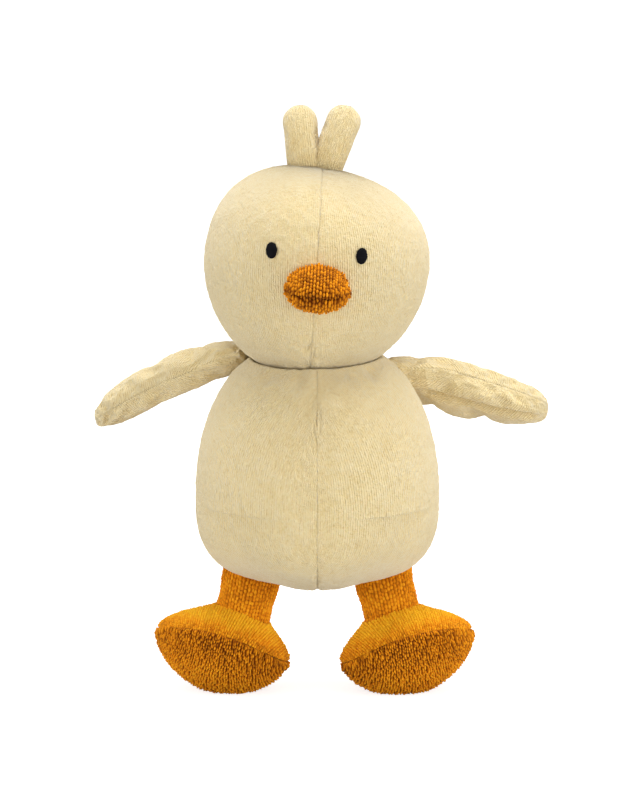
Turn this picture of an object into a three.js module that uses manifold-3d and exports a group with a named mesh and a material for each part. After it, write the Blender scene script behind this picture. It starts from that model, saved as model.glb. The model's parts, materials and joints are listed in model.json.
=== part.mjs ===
// A plush chick: pale velour body, head, crest and wings, and mustard terry beak, legs and feet.
// Each stuffed form is a sewn cover of separate panels round its own filling. Millimetres, +Z up, the face
// towards -Y, left and right as the chick's own (its left is +X). The origin is on the floor under the
// middle of the whole toy.
import * as THREE from "three";
import { mergeVertices } from "three/addons/utils/BufferGeometryUtils.js";
import Module from "manifold-3d";

const wasm = await Module();
wasm.setup();

// Driving dimensions, in millimetres and degrees.
const VELOUR = 1.6; // thickness of the pale velour
const TERRY = 2.2; // thickness of the mustard loop towelling
const SEAM_GAP = 0.3; // between two panels along their seam
const FILL_GAP = 0.8; // between a cover and its filling
const SEAT_GAP = 0.4; // between a piece and what it is sewn to

const BODY_HALF_WIDTH = 49.8;
const BODY_HALF_DEPTH = 43;
const BODY_UPPER = 65; // belly line to the crown of the body, hidden in the head
const BODY_LOWER = 34; // belly line to the seat
const BODY_UPPER_FULLNESS = 2.3; // 2 is an ellipse, more is squarer
const BODY_LOWER_FULLNESS = 2.8;
const BODY_CROWN_TIP = 28; // angle of the first ring from the pole, inside the head's seat

const HEAD_HALF_WIDTH = 45.6;
const HEAD_HALF_DEPTH = 43;
const HEAD_HALF_HEIGHT = 41.9;
const HEAD_UPPER_FULLNESS = 2.35;
const HEAD_LOWER_FULLNESS = 2.1;
const HEAD_SINK = 15; // how far the head sits down into the body's crown
const HEAD_FORWARD = 3; // the head's middle before the body's
const HEAD_TILT = 3.5; // towards the chick's left shoulder, at rest
const NECK_GAP = 1; // round the head in its seat, so that it can roll
const NECK_THREAD = 0.9; // thickness of the drawn thread round the neck

const EYE_HALF_WIDTH = 2.2;
const EYE_HALF_HEIGHT = 3.4;
const EYE_PROUD = 1.2; // height of the embroidery over the velour
const EYE_SPREAD = 17.2; // each eye from the face's middle
const EYE_RISE = 11.2; // over the head's middle

const BEAK_HALF_WIDTH = 13.2;
const BEAK_HALF_HEIGHT = 10;
const BEAK_LENGTH = 15; // from the face to the tip
const BEAK_ROOT = 9; // how far its form runs back past the face before it is cut
const BEAK_DROP = 1.2; // under the head's middle
const BEAK_POINT = 8; // the tip looks down by this angle

const TUFT_HEIGHT = 23;
const TUFT_HALF_WIDTH = 7.2;
const TUFT_ROOT_HALF_WIDTH = 5.6;
const TUFT_HALF_THICKNESS = 5;
const LEFT_TUFT_LEAN = 15; // outwards
const RIGHT_TUFT_LEAN = 9;
const TUFT_BACK = 4; // behind the head's middle
const CREST_SHIFT = -2.6; // the crest's middle from the head's, towards the chick's right
const TUFT_SPACE = 0.6; // between the two tufts at their roots
const TUFT_FULLNESS = 2.4;
const TUFT_CROWN_SHARE = 0.55; // of the height, where the tuft is thickest

const WING_SPAN = 62;
const WING_ROOT_CHORD = 22;
const WING_CHORD = 31; // the widest
const WING_TIP_RADIUS = 8;
const WING_HALF_THICKNESS = 7.6;
const WING_ROOT_SHARE = 0.45; // of the thickness, where the wing is sewn flat
const WING_ROOT_LENGTH = 18; // over which it swells to the full thickness
const WING_FULLNESS = 3;
const WING_CROWN_SHARE = 0.5; // of the span, where the wing is thickest
const WING_CROWN_BACK = 3; // and how far behind the root's middle
const WING_LEADING_BOW = 2; // how far the leading edge bows forward of the root
const WING_LEADING_FALL = 4; // and falls back by the tip
const WING_FEATHERS = 3; // scallops along the trailing edge
const WING_NOTCH = 1.6; // depth between two feathers
const WING_ROOT_RISE = 50; // over the belly line
const WING_ROOT_BACK = 11; // behind the body's middle
const WING_LEFT_DROOP = 15; // the root's line under the horizon
const WING_LEFT_ARCH = 3; // how far the tip hangs under the root's line
const WING_LEFT_PITCH = 24; // the root's trailing end downwards
const WING_LEFT_TWIST = 28; // the trailing edge further down, outside the root
const WING_RIGHT_DROOP = 11;
const WING_RIGHT_ARCH = 12;
const WING_RIGHT_PITCH = 6;
const WING_RIGHT_TWIST = -17;

const HIP_SPREAD = 26; // each leg's root from the body's middle
const LEG_LENGTH = 16; // hip seam to ankle
const LEG_TOP_HALF_WIDTH = 13.2;
const ANKLE_HALF_WIDTH = 11.5;
const ANKLE_HALF_DEPTH = 10;
const LEG_HEM_HALF = 0.8; // half the thickness of the flat hem sewn to the body
const LEG_HEM_BEVEL = 0.5;
const ANKLE_GAP = 0.7; // round the ankle in the instep's dish

const FOOT_HALF_WIDTH = 28;
const FOOT_TOE = 27; // the foot's middle to the toe
const FOOT_HEEL = 19; // and to the heel
const FOOT_UPPER = 14; // seam to the top of the instep
const FOOT_SOLE = 19; // seam to the bottom of the sole
const FOOT_DROP = 14.6; // ankle to the foot's seam
const FOOT_FULLNESS = 2;
const FOOT_THINNING = 1.25;
const FOOT_BACK = 0.6; // the foot's middle behind the ankle
const FOOT_OUT = 4; // and outside it
const FOOT_TILT = 12.5; // the inner side down
const FOOT_PITCH = 8; // the toe up
const FOOT_SPLAY = 12; // the toe outwards
const SOLE_FLAT = 0.5; // depth of the flat that the foot stands on

// How finely the forms are divided. The round forms' columns are multiples of 4, so that no point lies on
// a seam.
const ROUND_COLUMNS = 20;
const ROUND_ROWS = 10;
const WING_COLUMNS = 26;
const FOOT_COLUMNS = 16;
const SMALL_COLUMNS = 12;
const PILLOW_ROWS = 6;
const THREAD_COLUMNS = 30;
const THREAD_SIDES = 5;
const HALF_SPACE = 400; // edge of the boxes that divide the panels

const material = (color, roughness) => new THREE.MeshStandardMaterial({ color, roughness, metalness: 0 });
const velour = material(0xf2e2b6, 0.95);
const terry = material(0xcf861c, 0.95);
const filling = material(0xf4f2ec, 1);
const eyeThread = material(0x16171b, 0.6);
const seamThread = material(0xe9d7a6, 0.8);

const radians = THREE.MathUtils.degToRad;

// A closed form on a sphere's grid: place puts each point by its column, its turn about the pole and its
// angle from the pole.
function form(columns, rows, place) {
  const geometry = new THREE.SphereGeometry(1, columns, rows);
  const position = geometry.getAttribute("position");
  for (let row = 0; row <= rows; row++) {
    for (let step = 0; step <= columns; step++) {
      const column = step % columns;
      const turn = (2 * Math.PI * (column + 0.5)) / columns;
      const point = place({ column, turn, row, tip: (Math.PI * row) / rows });
      position.setXYZ(row * (columns + 1) + step, point.x, point.y, point.z);
    }
  }
  return geometry;
}

// A solid from a closed geometry, with its faces turned outwards.
function solidOf(geometry) {
  const bare = new THREE.BufferGeometry();
  bare.setAttribute("position", geometry.getAttribute("position").clone());
  if (geometry.index) bare.setIndex(geometry.index.clone());
  const merged = mergeVertices(bare, 1e-4);
  const triVerts = new Uint32Array(merged.index.array);
  const vertProperties = merged.getAttribute("position").array;
  const solid = new wasm.Manifold(new wasm.Mesh({ numProp: 3, vertProperties, triVerts }));
  if (solid.volume() > 0) return solid;
  return new wasm.Manifold(new wasm.Mesh({ numProp: 3, vertProperties, triVerts: triVerts.reverse() }));
}

// A named mesh of a solid. bend, if given, moves each point after the cuts are made.
function meshOf(name, solid, finish, bend) {
  const { numProp, vertProperties, triVerts } = solid.getMesh();
  const points = [];
  for (let i = 0; i < vertProperties.length; i += numProp) {
    const point = new THREE.Vector3().fromArray(vertProperties, i);
    if (bend) bend(point);
    points.push(point);
  }
  const geometry = new THREE.BufferGeometry().setFromPoints(points);
  geometry.setIndex(new THREE.BufferAttribute(new Uint32Array(triVerts), 1));
  geometry.computeVertexNormals();
  const mesh = new THREE.Mesh(geometry, finish);
  mesh.name = name;
  return mesh;
}

// All of space on one side of a plane through the origin, less half a seam's gap.
function sideOf(axis, sign) {
  const shift = new THREE.Vector3();
  shift[axis] = sign * (HALF_SPACE / 2 + SEAM_GAP / 2);
  const half = new THREE.BoxGeometry(HALF_SPACE, HALF_SPACE, HALF_SPACE);
  return solidOf(half.translate(shift.x, shift.y, shift.z));
}

const placed = (geometry, matrix) => solidOf(geometry.clone().applyMatrix4(matrix));

// The cover of a form, cut in two along its seam, and its filling. shape gives the form's geometry inset by
// a distance, and cutBy the solids that are taken out of all three.
function sewnPair({ shape, fabric, finish, seamAxis, names, cutBy = [], bend }) {
  const outer = solidOf(shape(0));
  const hollow = solidOf(shape(fabric));
  const core = solidOf(shape(fabric + FILL_GAP));
  const trim = (solid) => cutBy.reduce((left, cutter) => left.subtract(cutter), solid);
  const cover = trim(outer.subtract(hollow));
  return [
    meshOf(names[0], cover.intersect(sideOf(seamAxis, 1)), finish, bend),
    meshOf(names[1], cover.intersect(sideOf(seamAxis, -1)), finish, bend),
    meshOf(names[2], trim(core), filling, bend),
  ];
}

// The egg of the body and the head: an ellipse seen from above, and a fuller outline from the side.
class Egg {
  constructor(sizes) {
    Object.assign(this, sizes);
  }

  // The share of the full width left at a height over the widest line.
  spreadAt(height) {
    const [reach, fullness] = this.endOf(height);
    return Math.pow(1 - Math.pow(Math.abs(height) / reach, fullness), 1 / fullness);
  }

  endOf(height) {
    return height >= 0 ? [this.upper, this.upperFullness] : [this.lower, this.lowerFullness];
  }

  // The surface's height over or under a place, seen from above.
  heightAt(x, y, sign) {
    const [reach, fullness] = this.endOf(sign);
    const spread = Math.hypot(x / this.halfWidth, y / this.halfDepth);
    return sign * reach * Math.pow(1 - Math.pow(spread, fullness), 1 / fullness);
  }

  // The surface's outward direction at a point on it.
  normalAt(point) {
    const [reach, fullness] = this.endOf(point.z);
    const spread = Math.hypot(point.x / this.halfWidth, point.y / this.halfDepth);
    const level = Math.pow(Math.max(spread, 1e-9), fullness - 2);
    return new THREE.Vector3(
      (level * point.x) / this.halfWidth ** 2,
      (level * point.y) / this.halfDepth ** 2,
      (Math.sign(point.z) * Math.pow(Math.abs(point.z), fullness - 1)) / reach ** fullness,
    ).normalize();
  }

  // The closed form, inset by a distance, or grown by a negative one.
  geometry(inset) {
    return form(ROUND_COLUMNS, ROUND_ROWS, ({ turn, row }) => {
      const tip = row === 0 ? 0 : Math.PI - (Math.PI - this.crown) * ((ROUND_ROWS - row) / (ROUND_ROWS - 1));
      const [reach, fullness] = this.endOf(Math.cos(tip));
      const spread = Math.pow(Math.sin(tip), 2 / fullness);
      const rise = Math.sign(Math.cos(tip)) * Math.pow(Math.abs(Math.cos(tip)), 2 / fullness);
      return new THREE.Vector3(
        (this.halfWidth - inset) * spread * Math.cos(turn),
        (this.halfDepth - inset) * spread * Math.sin(turn),
        (reach - inset) * rise,
      );
    });
  }
}

// A pillow over a flat outline: two crowned faces that meet in a seam along it. fullness over 2 flattens the
// crown, and thinning over 1 draws the faces in along the seam.
function pillow({ outline, middle, rise, sink, fullness, thinning, columns, rows }, inset) {
  return form(columns, rows, ({ column, tip }) => {
    const edge = outline[column].clone().sub(middle);
    edge.multiplyScalar(Math.sin(tip) * (1 - inset / edge.length()));
    const crown = Math.pow(1 - Math.pow(Math.sin(tip), fullness), thinning / 2);
    const height = Math.cos(tip) > 0 ? rise - inset : inset - sink;
    return new THREE.Vector3(middle.x + edge.x, middle.y + edge.y, height * crown);
  });
}

// The outline of a shape as evenly spaced points, one for each column.
const outlineOf = (shape, columns) => shape.getSpacedPoints(columns).slice(0, columns);

const bodyEgg = new Egg({
  halfWidth: BODY_HALF_WIDTH,
  halfDepth: BODY_HALF_DEPTH,
  upper: BODY_UPPER,
  lower: BODY_LOWER,
  upperFullness: BODY_UPPER_FULLNESS,
  lowerFullness: BODY_LOWER_FULLNESS,
  crown: radians(BODY_CROWN_TIP),
});
const headEgg = new Egg({
  halfWidth: HEAD_HALF_WIDTH,
  halfDepth: HEAD_HALF_DEPTH,
  upper: HEAD_HALF_HEIGHT,
  lower: HEAD_HALF_HEIGHT,
  upperFullness: HEAD_UPPER_FULLNESS,
  lowerFullness: HEAD_LOWER_FULLNESS,
  crown: Math.PI / ROUND_ROWS,
});

// The chick's frame is at the middle of the body's belly line until it is set on the floor.
const chick = new THREE.Group();
chick.name = "chick";

const head = new THREE.Group();
head.name = "head";
head.position.set(0, -HEAD_FORWARD, BODY_UPPER - HEAD_SINK + HEAD_HALF_HEIGHT);
head.rotation.y = radians(HEAD_TILT);
head.updateMatrix();
chick.add(head);

// Body: two velour sides joined along the front and the back, hollowed at the top as the head's seat.
function makeBody() {
  const seat = placed(headEgg.geometry(-NECK_GAP), head.matrix);
  return sewnPair({
    shape: (inset) => bodyEgg.geometry(inset),
    fabric: VELOUR,
    finish: velour,
    seamAxis: "x",
    names: ["body_panel_left", "body_panel_right", "body_filling"],
    cutBy: [seat],
  });
}
chick.add(...makeBody());

// The drawn thread that closes the neck: a ring in the groove where the head and the body part.
function makeNeckThread() {
  const grooveAt = (radius) => {
    const headUnder = head.position.z + headEgg.heightAt(radius, 0, -1);
    const tops = Array.from({ length: THREAD_COLUMNS }, (_, column) => {
      const turn = (2 * Math.PI * column) / THREAD_COLUMNS;
      return bodyEgg.heightAt(radius * Math.cos(turn), radius * Math.sin(turn) - HEAD_FORWARD, 1);
    });
    const bodyTop = Math.max(...tops);
    return { opening: headUnder - bodyTop, height: (headUnder + bodyTop) / 2 };
  };
  const room = Math.SQRT2 * (NECK_THREAD + 2 * SEAT_GAP);
  let radius = 0;
  while (grooveAt(radius).opening < room) radius += SEAT_GAP / 10;
  const ring = new THREE.TorusGeometry(radius, NECK_THREAD / 2, THREAD_SIDES, THREAD_COLUMNS);
  ring.translate(0, -HEAD_FORWARD, grooveAt(radius).height);
  return meshOf("neck_seam_thread", solidOf(ring), seamThread);
}
chick.add(makeNeckThread());

// Head: two velour sides joined along the middle of the face.
head.add(
  ...sewnPair({
    shape: (inset) => headEgg.geometry(inset),
    fabric: VELOUR,
    finish: velour,
    seamAxis: "x",
    names: ["head_panel_left", "head_panel_right", "head_filling"],
  }),
);
const headSeat = solidOf(headEgg.geometry(-SEAT_GAP));

// The point on the front of the face at a place across and over its middle.
function facePoint(x, z) {
  const spread = headEgg.spreadAt(z);
  const y = -HEAD_HALF_DEPTH * Math.sqrt(spread ** 2 - (x / HEAD_HALF_WIDTH) ** 2);
  return new THREE.Vector3(x, y, z);
}

// Eyes: raised ovals of satin stitch that lie on the velour.
function makeEye(name, side) {
  const at = facePoint(side * EYE_SPREAD, EYE_RISE);
  const turned = new THREE.Quaternion().setFromUnitVectors(new THREE.Vector3(0, -1, 0), headEgg.normalAt(at));
  const depth = EYE_PROUD + SEAT_GAP;
  const oval = form(SMALL_COLUMNS, PILLOW_ROWS, ({ turn, tip }) => {
    const out = Math.sin(tip);
    const along = new THREE.Vector3(
      EYE_HALF_WIDTH * out * Math.cos(turn),
      -depth * Math.cos(tip),
      EYE_HALF_HEIGHT * out * Math.sin(turn),
    );
    return along.applyQuaternion(turned).add(at);
  });
  return meshOf(name, solidOf(oval).subtract(headSeat), eyeThread);
}
head.add(makeEye("eye_left", 1), makeEye("eye_right", -1));

// Beak: an upper and a lower terry half with the mouth seam between them, cut off where it meets the face.
function makeBeak() {
  const beak = new THREE.Group();
  beak.name = "beak";
  beak.position.copy(facePoint(0, -BEAK_DROP));
  beak.rotation.x = radians(BEAK_POINT);
  beak.updateMatrix();
  const face = placed(headEgg.geometry(-SEAT_GAP), beak.matrix.clone().invert());
  const nose = (inset) =>
    form(SMALL_COLUMNS, PILLOW_ROWS, ({ turn, tip }) => {
      const along = Math.cos(tip) > 0 ? BEAK_LENGTH - inset : BEAK_ROOT;
      return new THREE.Vector3(
        (BEAK_HALF_WIDTH - inset) * Math.sin(tip) * Math.cos(turn),
        -along * Math.cos(tip),
        (BEAK_HALF_HEIGHT - inset) * Math.sin(tip) * Math.sin(turn),
      );
    });
  beak.add(
    ...sewnPair({
      shape: nose,
      fabric: TERRY,
      finish: terry,
      seamAxis: "z",
      names: ["beak_upper", "beak_lower", "beak_filling"],
      cutBy: [face],
    }),
  );
  return beak;
}
head.add(makeBeak());

// Crest: two velour fingers side by side on the crown, each sewn flat along its root.
function makeTuft(side, own, leanDegrees) {
  const tuft = new THREE.Group();
  tuft.name = `crest_${own}`;
  const lean = radians(leanDegrees);
  const top = TUFT_HEIGHT - TUFT_HALF_WIDTH;
  const x = CREST_SHIFT + side * (TUFT_ROOT_HALF_WIDTH * Math.cos(lean) + TUFT_SPACE / 2);
  const root = new THREE.Vector3(x, TUFT_BACK, headEgg.heightAt(x, TUFT_BACK, 1));
  const crown = headEgg.normalAt(root);
  tuft.position.copy(root).addScaledVector(crown, SEAT_GAP);
  tuft.rotation.y = side * lean;
  const rootSlope = Math.tan(side * lean - Math.atan2(crown.x, crown.z)); // the root lies along the crown
  const finger = new THREE.Shape()
    .moveTo(-TUFT_ROOT_HALF_WIDTH, -TUFT_ROOT_HALF_WIDTH * rootSlope)
    .lineTo(TUFT_ROOT_HALF_WIDTH, TUFT_ROOT_HALF_WIDTH * rootSlope)
    .lineTo(TUFT_HALF_WIDTH, top)
    .absarc(0, top, TUFT_HALF_WIDTH, 0, Math.PI)
    .closePath();
  const size = {
    outline: outlineOf(finger, SMALL_COLUMNS),
    middle: new THREE.Vector2(0, TUFT_HEIGHT * TUFT_CROWN_SHARE),
    rise: TUFT_HALF_THICKNESS,
    sink: TUFT_HALF_THICKNESS,
    fullness: TUFT_FULLNESS,
    thinning: 1,
    columns: SMALL_COLUMNS,
    rows: PILLOW_ROWS,
  };
  const upright = new THREE.Group();
  upright.rotation.x = Math.PI / 2;
  upright.add(
    ...sewnPair({
      shape: (inset) => pillow(size, inset),
      fabric: VELOUR,
      finish: velour,
      seamAxis: "z",
      names: [`crest_${own}_front`, `crest_${own}_back`, `crest_${own}_filling`],
    }),
  );
  tuft.add(upright);
  return tuft;
}
head.add(makeTuft(1, "left", LEFT_TUFT_LEAN), makeTuft(-1, "right", RIGHT_TUFT_LEAN));

// The wing's outline: a straight root, a curved leading edge, a round tip and scalloped feathers behind.
// x runs along the span and y backwards.
function wingOutline() {
  const front = -WING_ROOT_CHORD / 2;
  const back = WING_CHORD - WING_ROOT_CHORD / 2;
  const tipX = WING_SPAN - WING_TIP_RADIUS;
  const shape = new THREE.Shape();
  shape.moveTo(0, -front);
  shape.lineTo(0, front);
  const tipFront = front + WING_LEADING_FALL;
  shape.bezierCurveTo(tipX / 3, front - WING_LEADING_BOW, (2 * tipX) / 3, front, tipX, tipFront);
  shape.absarc(tipX, tipFront + WING_TIP_RADIUS, WING_TIP_RADIUS, -Math.PI / 2, Math.PI / 2, false);
  const start = new THREE.Vector2(tipX, tipFront + 2 * WING_TIP_RADIUS);
  const end = new THREE.Vector2(0, -front);
  const notchAt = (share) => {
    const swell = (back - WING_NOTCH - start.y) * Math.sin(Math.PI * share);
    return start.clone().lerp(end, share).add(new THREE.Vector2(0, swell));
  };
  for (let feather = 1; feather <= WING_FEATHERS; feather++) {
    const from = notchAt((feather - 1) / WING_FEATHERS);
    const to = notchAt(feather / WING_FEATHERS);
    shape.quadraticCurveTo((from.x + to.x) / 2, (from.y + to.y) / 2 + 2 * WING_NOTCH, to.x, to.y);
  }
  return shape;
}

// Wings: a top and an under panel each, sewn flat to the back of the shoulder.
function makeWing(side, own, { droop, arch, pitch, twist }) {
  const wing = new THREE.Group();
  wing.name = `wing_${own}`;
  const spread = bodyEgg.spreadAt(WING_ROOT_RISE);
  const x = side * BODY_HALF_WIDTH * Math.sqrt(spread ** 2 - (WING_ROOT_BACK / BODY_HALF_DEPTH) ** 2);
  const root = new THREE.Vector3(x, WING_ROOT_BACK, WING_ROOT_RISE);
  const outward = bodyEgg.normalAt(root);
  const level = new THREE.Vector3(0, 0, 1).cross(outward).normalize().multiplyScalar(side);
  const downhill = level.clone().cross(outward).multiplyScalar(side).normalize();
  const seam = level.multiplyScalar(Math.cos(pitch)).addScaledVector(downhill, Math.sin(pitch));
  const lift = Math.asin(outward.z) + droop;
  const span = outward.clone().applyAxisAngle(seam, side * lift);
  const up = span.clone().cross(seam).multiplyScalar(side);
  wing.position.copy(root).addScaledVector(outward, SEAT_GAP);
  wing.quaternion.setFromRotationMatrix(new THREE.Matrix4().makeBasis(span, up.clone().cross(span), up));
  const outline = outlineOf(wingOutline(), WING_COLUMNS);
  for (const point of outline) point.y *= side;
  const size = {
    outline,
    middle: new THREE.Vector2(WING_SPAN * WING_CROWN_SHARE, side * WING_CROWN_BACK),
    rise: WING_HALF_THICKNESS,
    sink: WING_HALF_THICKNESS,
    fullness: WING_FULLNESS,
    thinning: 1,
    columns: WING_COLUMNS,
    rows: PILLOW_ROWS,
  };
  wing.add(
    ...sewnPair({
      shape: (inset) => pillow(size, inset),
      fabric: VELOUR,
      finish: velour,
      seamAxis: "z",
      names: [`wing_${own}_top`, `wing_${own}_under`, `wing_${own}_filling`],
      bend: (point) => {
        const swell = THREE.MathUtils.smoothstep(point.x, 0, WING_ROOT_LENGTH);
        point.z *= THREE.MathUtils.lerp(WING_ROOT_SHARE, 1, swell);
        point.applyAxisAngle(new THREE.Vector3(1, 0, 0), -side * twist * swell);
        point.z -= arch * (point.x / WING_SPAN) ** 2;
      },
    }),
  );
  return wing;
}
const leftHang = {
  droop: radians(WING_LEFT_DROOP),
  arch: WING_LEFT_ARCH,
  pitch: radians(WING_LEFT_PITCH),
  twist: radians(WING_LEFT_TWIST),
};
const rightHang = {
  droop: radians(WING_RIGHT_DROOP),
  arch: WING_RIGHT_ARCH,
  pitch: radians(WING_RIGHT_PITCH),
  twist: radians(WING_RIGHT_TWIST),
};
chick.add(makeWing(1, "left", leftHang), makeWing(-1, "right", rightHang));

// The leg's form: a flat hem at the hip that swells to a round ankle and ends in a ball. The hip is at the
// origin and the leg hangs down from it.
function legForm(inset) {
  const shaftRows = 3;
  const ballRows = 3;
  const swellRange = ANKLE_HALF_DEPTH - LEG_HEM_HALF;
  const start = inset > 0 ? (2 / Math.PI) * Math.asin((inset - LEG_HEM_HALF / 2) / swellRange) : 0;
  return form(SMALL_COLUMNS, shaftRows + ballRows + 1, ({ turn, row }) => {
    const ring = { width: 0, depth: 0, drop: inset > 0 ? start * LEG_LENGTH : -LEG_HEM_BEVEL };
    if (row > shaftRows) {
      const angle = ((row - shaftRows - 1) / ballRows) * (Math.PI / 2);
      ring.width = (ANKLE_HALF_WIDTH - inset) * Math.cos(angle);
      ring.depth = (ANKLE_HALF_DEPTH - inset) * Math.cos(angle);
      ring.drop = LEG_LENGTH + (ANKLE_HALF_DEPTH - inset) * Math.sin(angle);
    } else if (row > 0) {
      const share = THREE.MathUtils.lerp(start, 1, (row - 1) / shaftRows);
      ring.width = THREE.MathUtils.lerp(LEG_TOP_HALF_WIDTH, ANKLE_HALF_WIDTH, share) - inset;
      ring.depth = LEG_HEM_HALF + swellRange * Math.sin((share * Math.PI) / 2) - inset;
      ring.drop = share * LEG_LENGTH;
    }
    return new THREE.Vector3(ring.width * Math.cos(turn), ring.depth * Math.sin(turn), -ring.drop);
  });
}

// The foot's outline, seen from above: a round fan, longer at the toe than at the heel.
function footOutline(side) {
  const points = [];
  for (let column = 0; column < FOOT_COLUMNS; column++) {
    const turn = (2 * Math.PI * (column + 0.5)) / FOOT_COLUMNS;
    const reach = Math.sin(turn) < 0 ? FOOT_TOE : FOOT_HEEL;
    points.push(new THREE.Vector2(FOOT_HALF_WIDTH * Math.cos(turn), reach * Math.sin(turn)));
  }
  const middle = new THREE.Vector2(side * FOOT_OUT, FOOT_BACK);
  return { outline: points.map((point) => point.add(middle)), middle };
}

// Legs: a terry sleeve each, sewn flat to the body along the hip and open at the ankle, with a foot of an
// upper and a sole panel whose instep is dished for the ankle.
function makeLeg(side, own) {
  const leg = new THREE.Group();
  leg.name = `leg_${own}`;
  const seat = bodyEgg.heightAt(HIP_SPREAD, 0, -1);
  const hip = new THREE.Vector3(side * HIP_SPREAD, 0, seat);
  const outward = bodyEgg.normalAt(hip);
  const slope = Math.asin(side * outward.x);
  leg.position.copy(hip).addScaledVector(outward, SEAT_GAP + LEG_HEM_BEVEL);
  leg.rotation.y = -side * slope;
  const mouth = new THREE.BoxGeometry(HALF_SPACE, HALF_SPACE, HALF_SPACE);
  mouth.translate(0, 0, -LEG_LENGTH - ANKLE_HALF_DEPTH / 2 - HALF_SPACE / 2);
  const sleeve = solidOf(legForm(0)).subtract(solidOf(legForm(TERRY))).subtract(solidOf(mouth));
  leg.add(meshOf(`leg_${own}_sleeve`, sleeve, terry));
  leg.add(meshOf(`leg_${own}_filling`, solidOf(legForm(TERRY + FILL_GAP)), filling));

  const foot = new THREE.Group();
  foot.name = `foot_${own}`;
  foot.position.z = -LEG_LENGTH;
  const roll = side * (slope - radians(FOOT_TILT));
  foot.rotation.set(radians(-FOOT_PITCH), roll, side * radians(FOOT_SPLAY), "YZX");
  leg.add(foot);
  leg.updateMatrixWorld();
  foot.updateMatrix();
  const { outline, middle } = footOutline(side);
  const size = {
    outline,
    middle,
    rise: FOOT_UPPER,
    sink: FOOT_SOLE,
    fullness: FOOT_FULLNESS,
    thinning: FOOT_THINNING,
    columns: FOOT_COLUMNS,
    rows: PILLOW_ROWS,
  };
  const shape = (inset) => pillow(size, inset);
  const ball = form(SMALL_COLUMNS, PILLOW_ROWS, ({ turn, tip }) => {
    const depth = ANKLE_HALF_DEPTH + ANKLE_GAP;
    return new THREE.Vector3(
      (ANKLE_HALF_WIDTH + ANKLE_GAP) * Math.sin(tip) * Math.cos(turn),
      depth * Math.sin(tip) * Math.sin(turn),
      depth * Math.cos(tip) - LEG_LENGTH,
    );
  });
  const toFoot = foot.matrix.clone().invert();
  const onSeam = new THREE.Matrix4().makeTranslation(0, 0, FOOT_DROP);
  const dish = placed(ball, onSeam.clone().multiply(toFoot));
  const fromSeam = foot.matrixWorld.clone().multiply(onSeam.clone().invert());
  const standing = shape(0).applyMatrix4(fromSeam).getAttribute("position");
  const floor = new THREE.Box3().setFromBufferAttribute(standing).min.z + SOLE_FLAT;
  const under = new THREE.BoxGeometry(HALF_SPACE, HALF_SPACE, HALF_SPACE);
  under.translate(0, 0, floor - HALF_SPACE / 2);
  const ground = placed(under, fromSeam.clone().invert());
  const panels = new THREE.Group();
  panels.position.z = -FOOT_DROP;
  panels.add(
    ...sewnPair({
      shape,
      fabric: TERRY,
      finish: terry,
      seamAxis: "z",
      names: [`foot_${own}_upper`, `foot_${own}_sole`, `foot_${own}_filling`],
      cutBy: [dish, ground],
    }),
  );
  foot.add(panels);
  return leg;
}
chick.add(makeLeg(1, "left"), makeLeg(-1, "right"));

// The chick stands on the floor, with the origin under the middle of its width and depth.
const box = new THREE.Box3().setFromObject(chick, true);
chick.position.set(-(box.min.x + box.max.x) / 2, -(box.min.y + box.max.y) / 2, -box.min.z);

export default chick;
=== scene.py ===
"""A plush chick in pale velour with a mustard terry beak, legs and feet, dressed over its CAD frame.

Lengths are in metres, and the angles that a class holds are in degrees. The face looks along -Y, up is +Z,
and the chick's own left is +X. Every cover is a grid of points worked out from a formula, swelled by a cloth
simulation, roughened by its fabric's pile or loops, and closed into a shell that has a back and a rim.
"""

import json
import logging
import math
from collections.abc import Callable
from dataclasses import dataclass, field, replace
from enum import Enum

import bpy
import numpy as np
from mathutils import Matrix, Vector


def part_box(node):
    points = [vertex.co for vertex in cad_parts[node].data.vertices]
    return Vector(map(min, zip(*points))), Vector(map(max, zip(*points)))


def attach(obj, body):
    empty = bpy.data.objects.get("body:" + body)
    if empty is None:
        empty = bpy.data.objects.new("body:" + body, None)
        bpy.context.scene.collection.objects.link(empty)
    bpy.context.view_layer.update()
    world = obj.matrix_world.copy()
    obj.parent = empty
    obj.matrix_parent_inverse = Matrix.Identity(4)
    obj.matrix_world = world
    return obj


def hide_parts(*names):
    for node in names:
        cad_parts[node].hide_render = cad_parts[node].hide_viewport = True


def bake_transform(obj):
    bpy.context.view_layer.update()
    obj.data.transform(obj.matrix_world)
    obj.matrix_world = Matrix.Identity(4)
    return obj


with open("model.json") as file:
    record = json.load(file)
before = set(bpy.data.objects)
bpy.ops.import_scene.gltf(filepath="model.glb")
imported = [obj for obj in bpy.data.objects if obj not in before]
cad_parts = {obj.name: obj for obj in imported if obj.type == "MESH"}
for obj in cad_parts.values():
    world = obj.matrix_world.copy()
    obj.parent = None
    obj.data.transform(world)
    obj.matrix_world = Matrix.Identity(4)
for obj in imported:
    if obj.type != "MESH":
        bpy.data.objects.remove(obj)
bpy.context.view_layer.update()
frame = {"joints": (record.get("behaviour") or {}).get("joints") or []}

Grid = np.ndarray
Colour = tuple[float, float, float]
Piece = bpy.types.Object
Socket = bpy.types.NodeSocket
MM = 0.001
TINY = 1e-9
BACKWARD = np.array((0.0, 1.0, 0.0))
NO_TRIANGLES = np.zeros((0, 3), dtype=int)
CURVE_POINTS = 40
LOG = logging.getLogger("plush_chick")


class Side(Enum):
    """The chick's own two sides, with the sign of X on each."""

    LEFT = 1
    RIGHT = -1

    @property
    def own(self) -> str:
        """The side's name as the nodes and joints spell it."""
        return self.name.lower()


class Face(Enum):
    """The two faces of a flat pillow, with the sign of its height on each."""

    UPPER = 1
    LOWER = -1


def unit(vectors: Grid) -> Grid:
    """Vectors of length one along the given ones."""
    return vectors / np.maximum(np.linalg.norm(vectors, axis=-1, keepdims=True), 1e-12)


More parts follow.
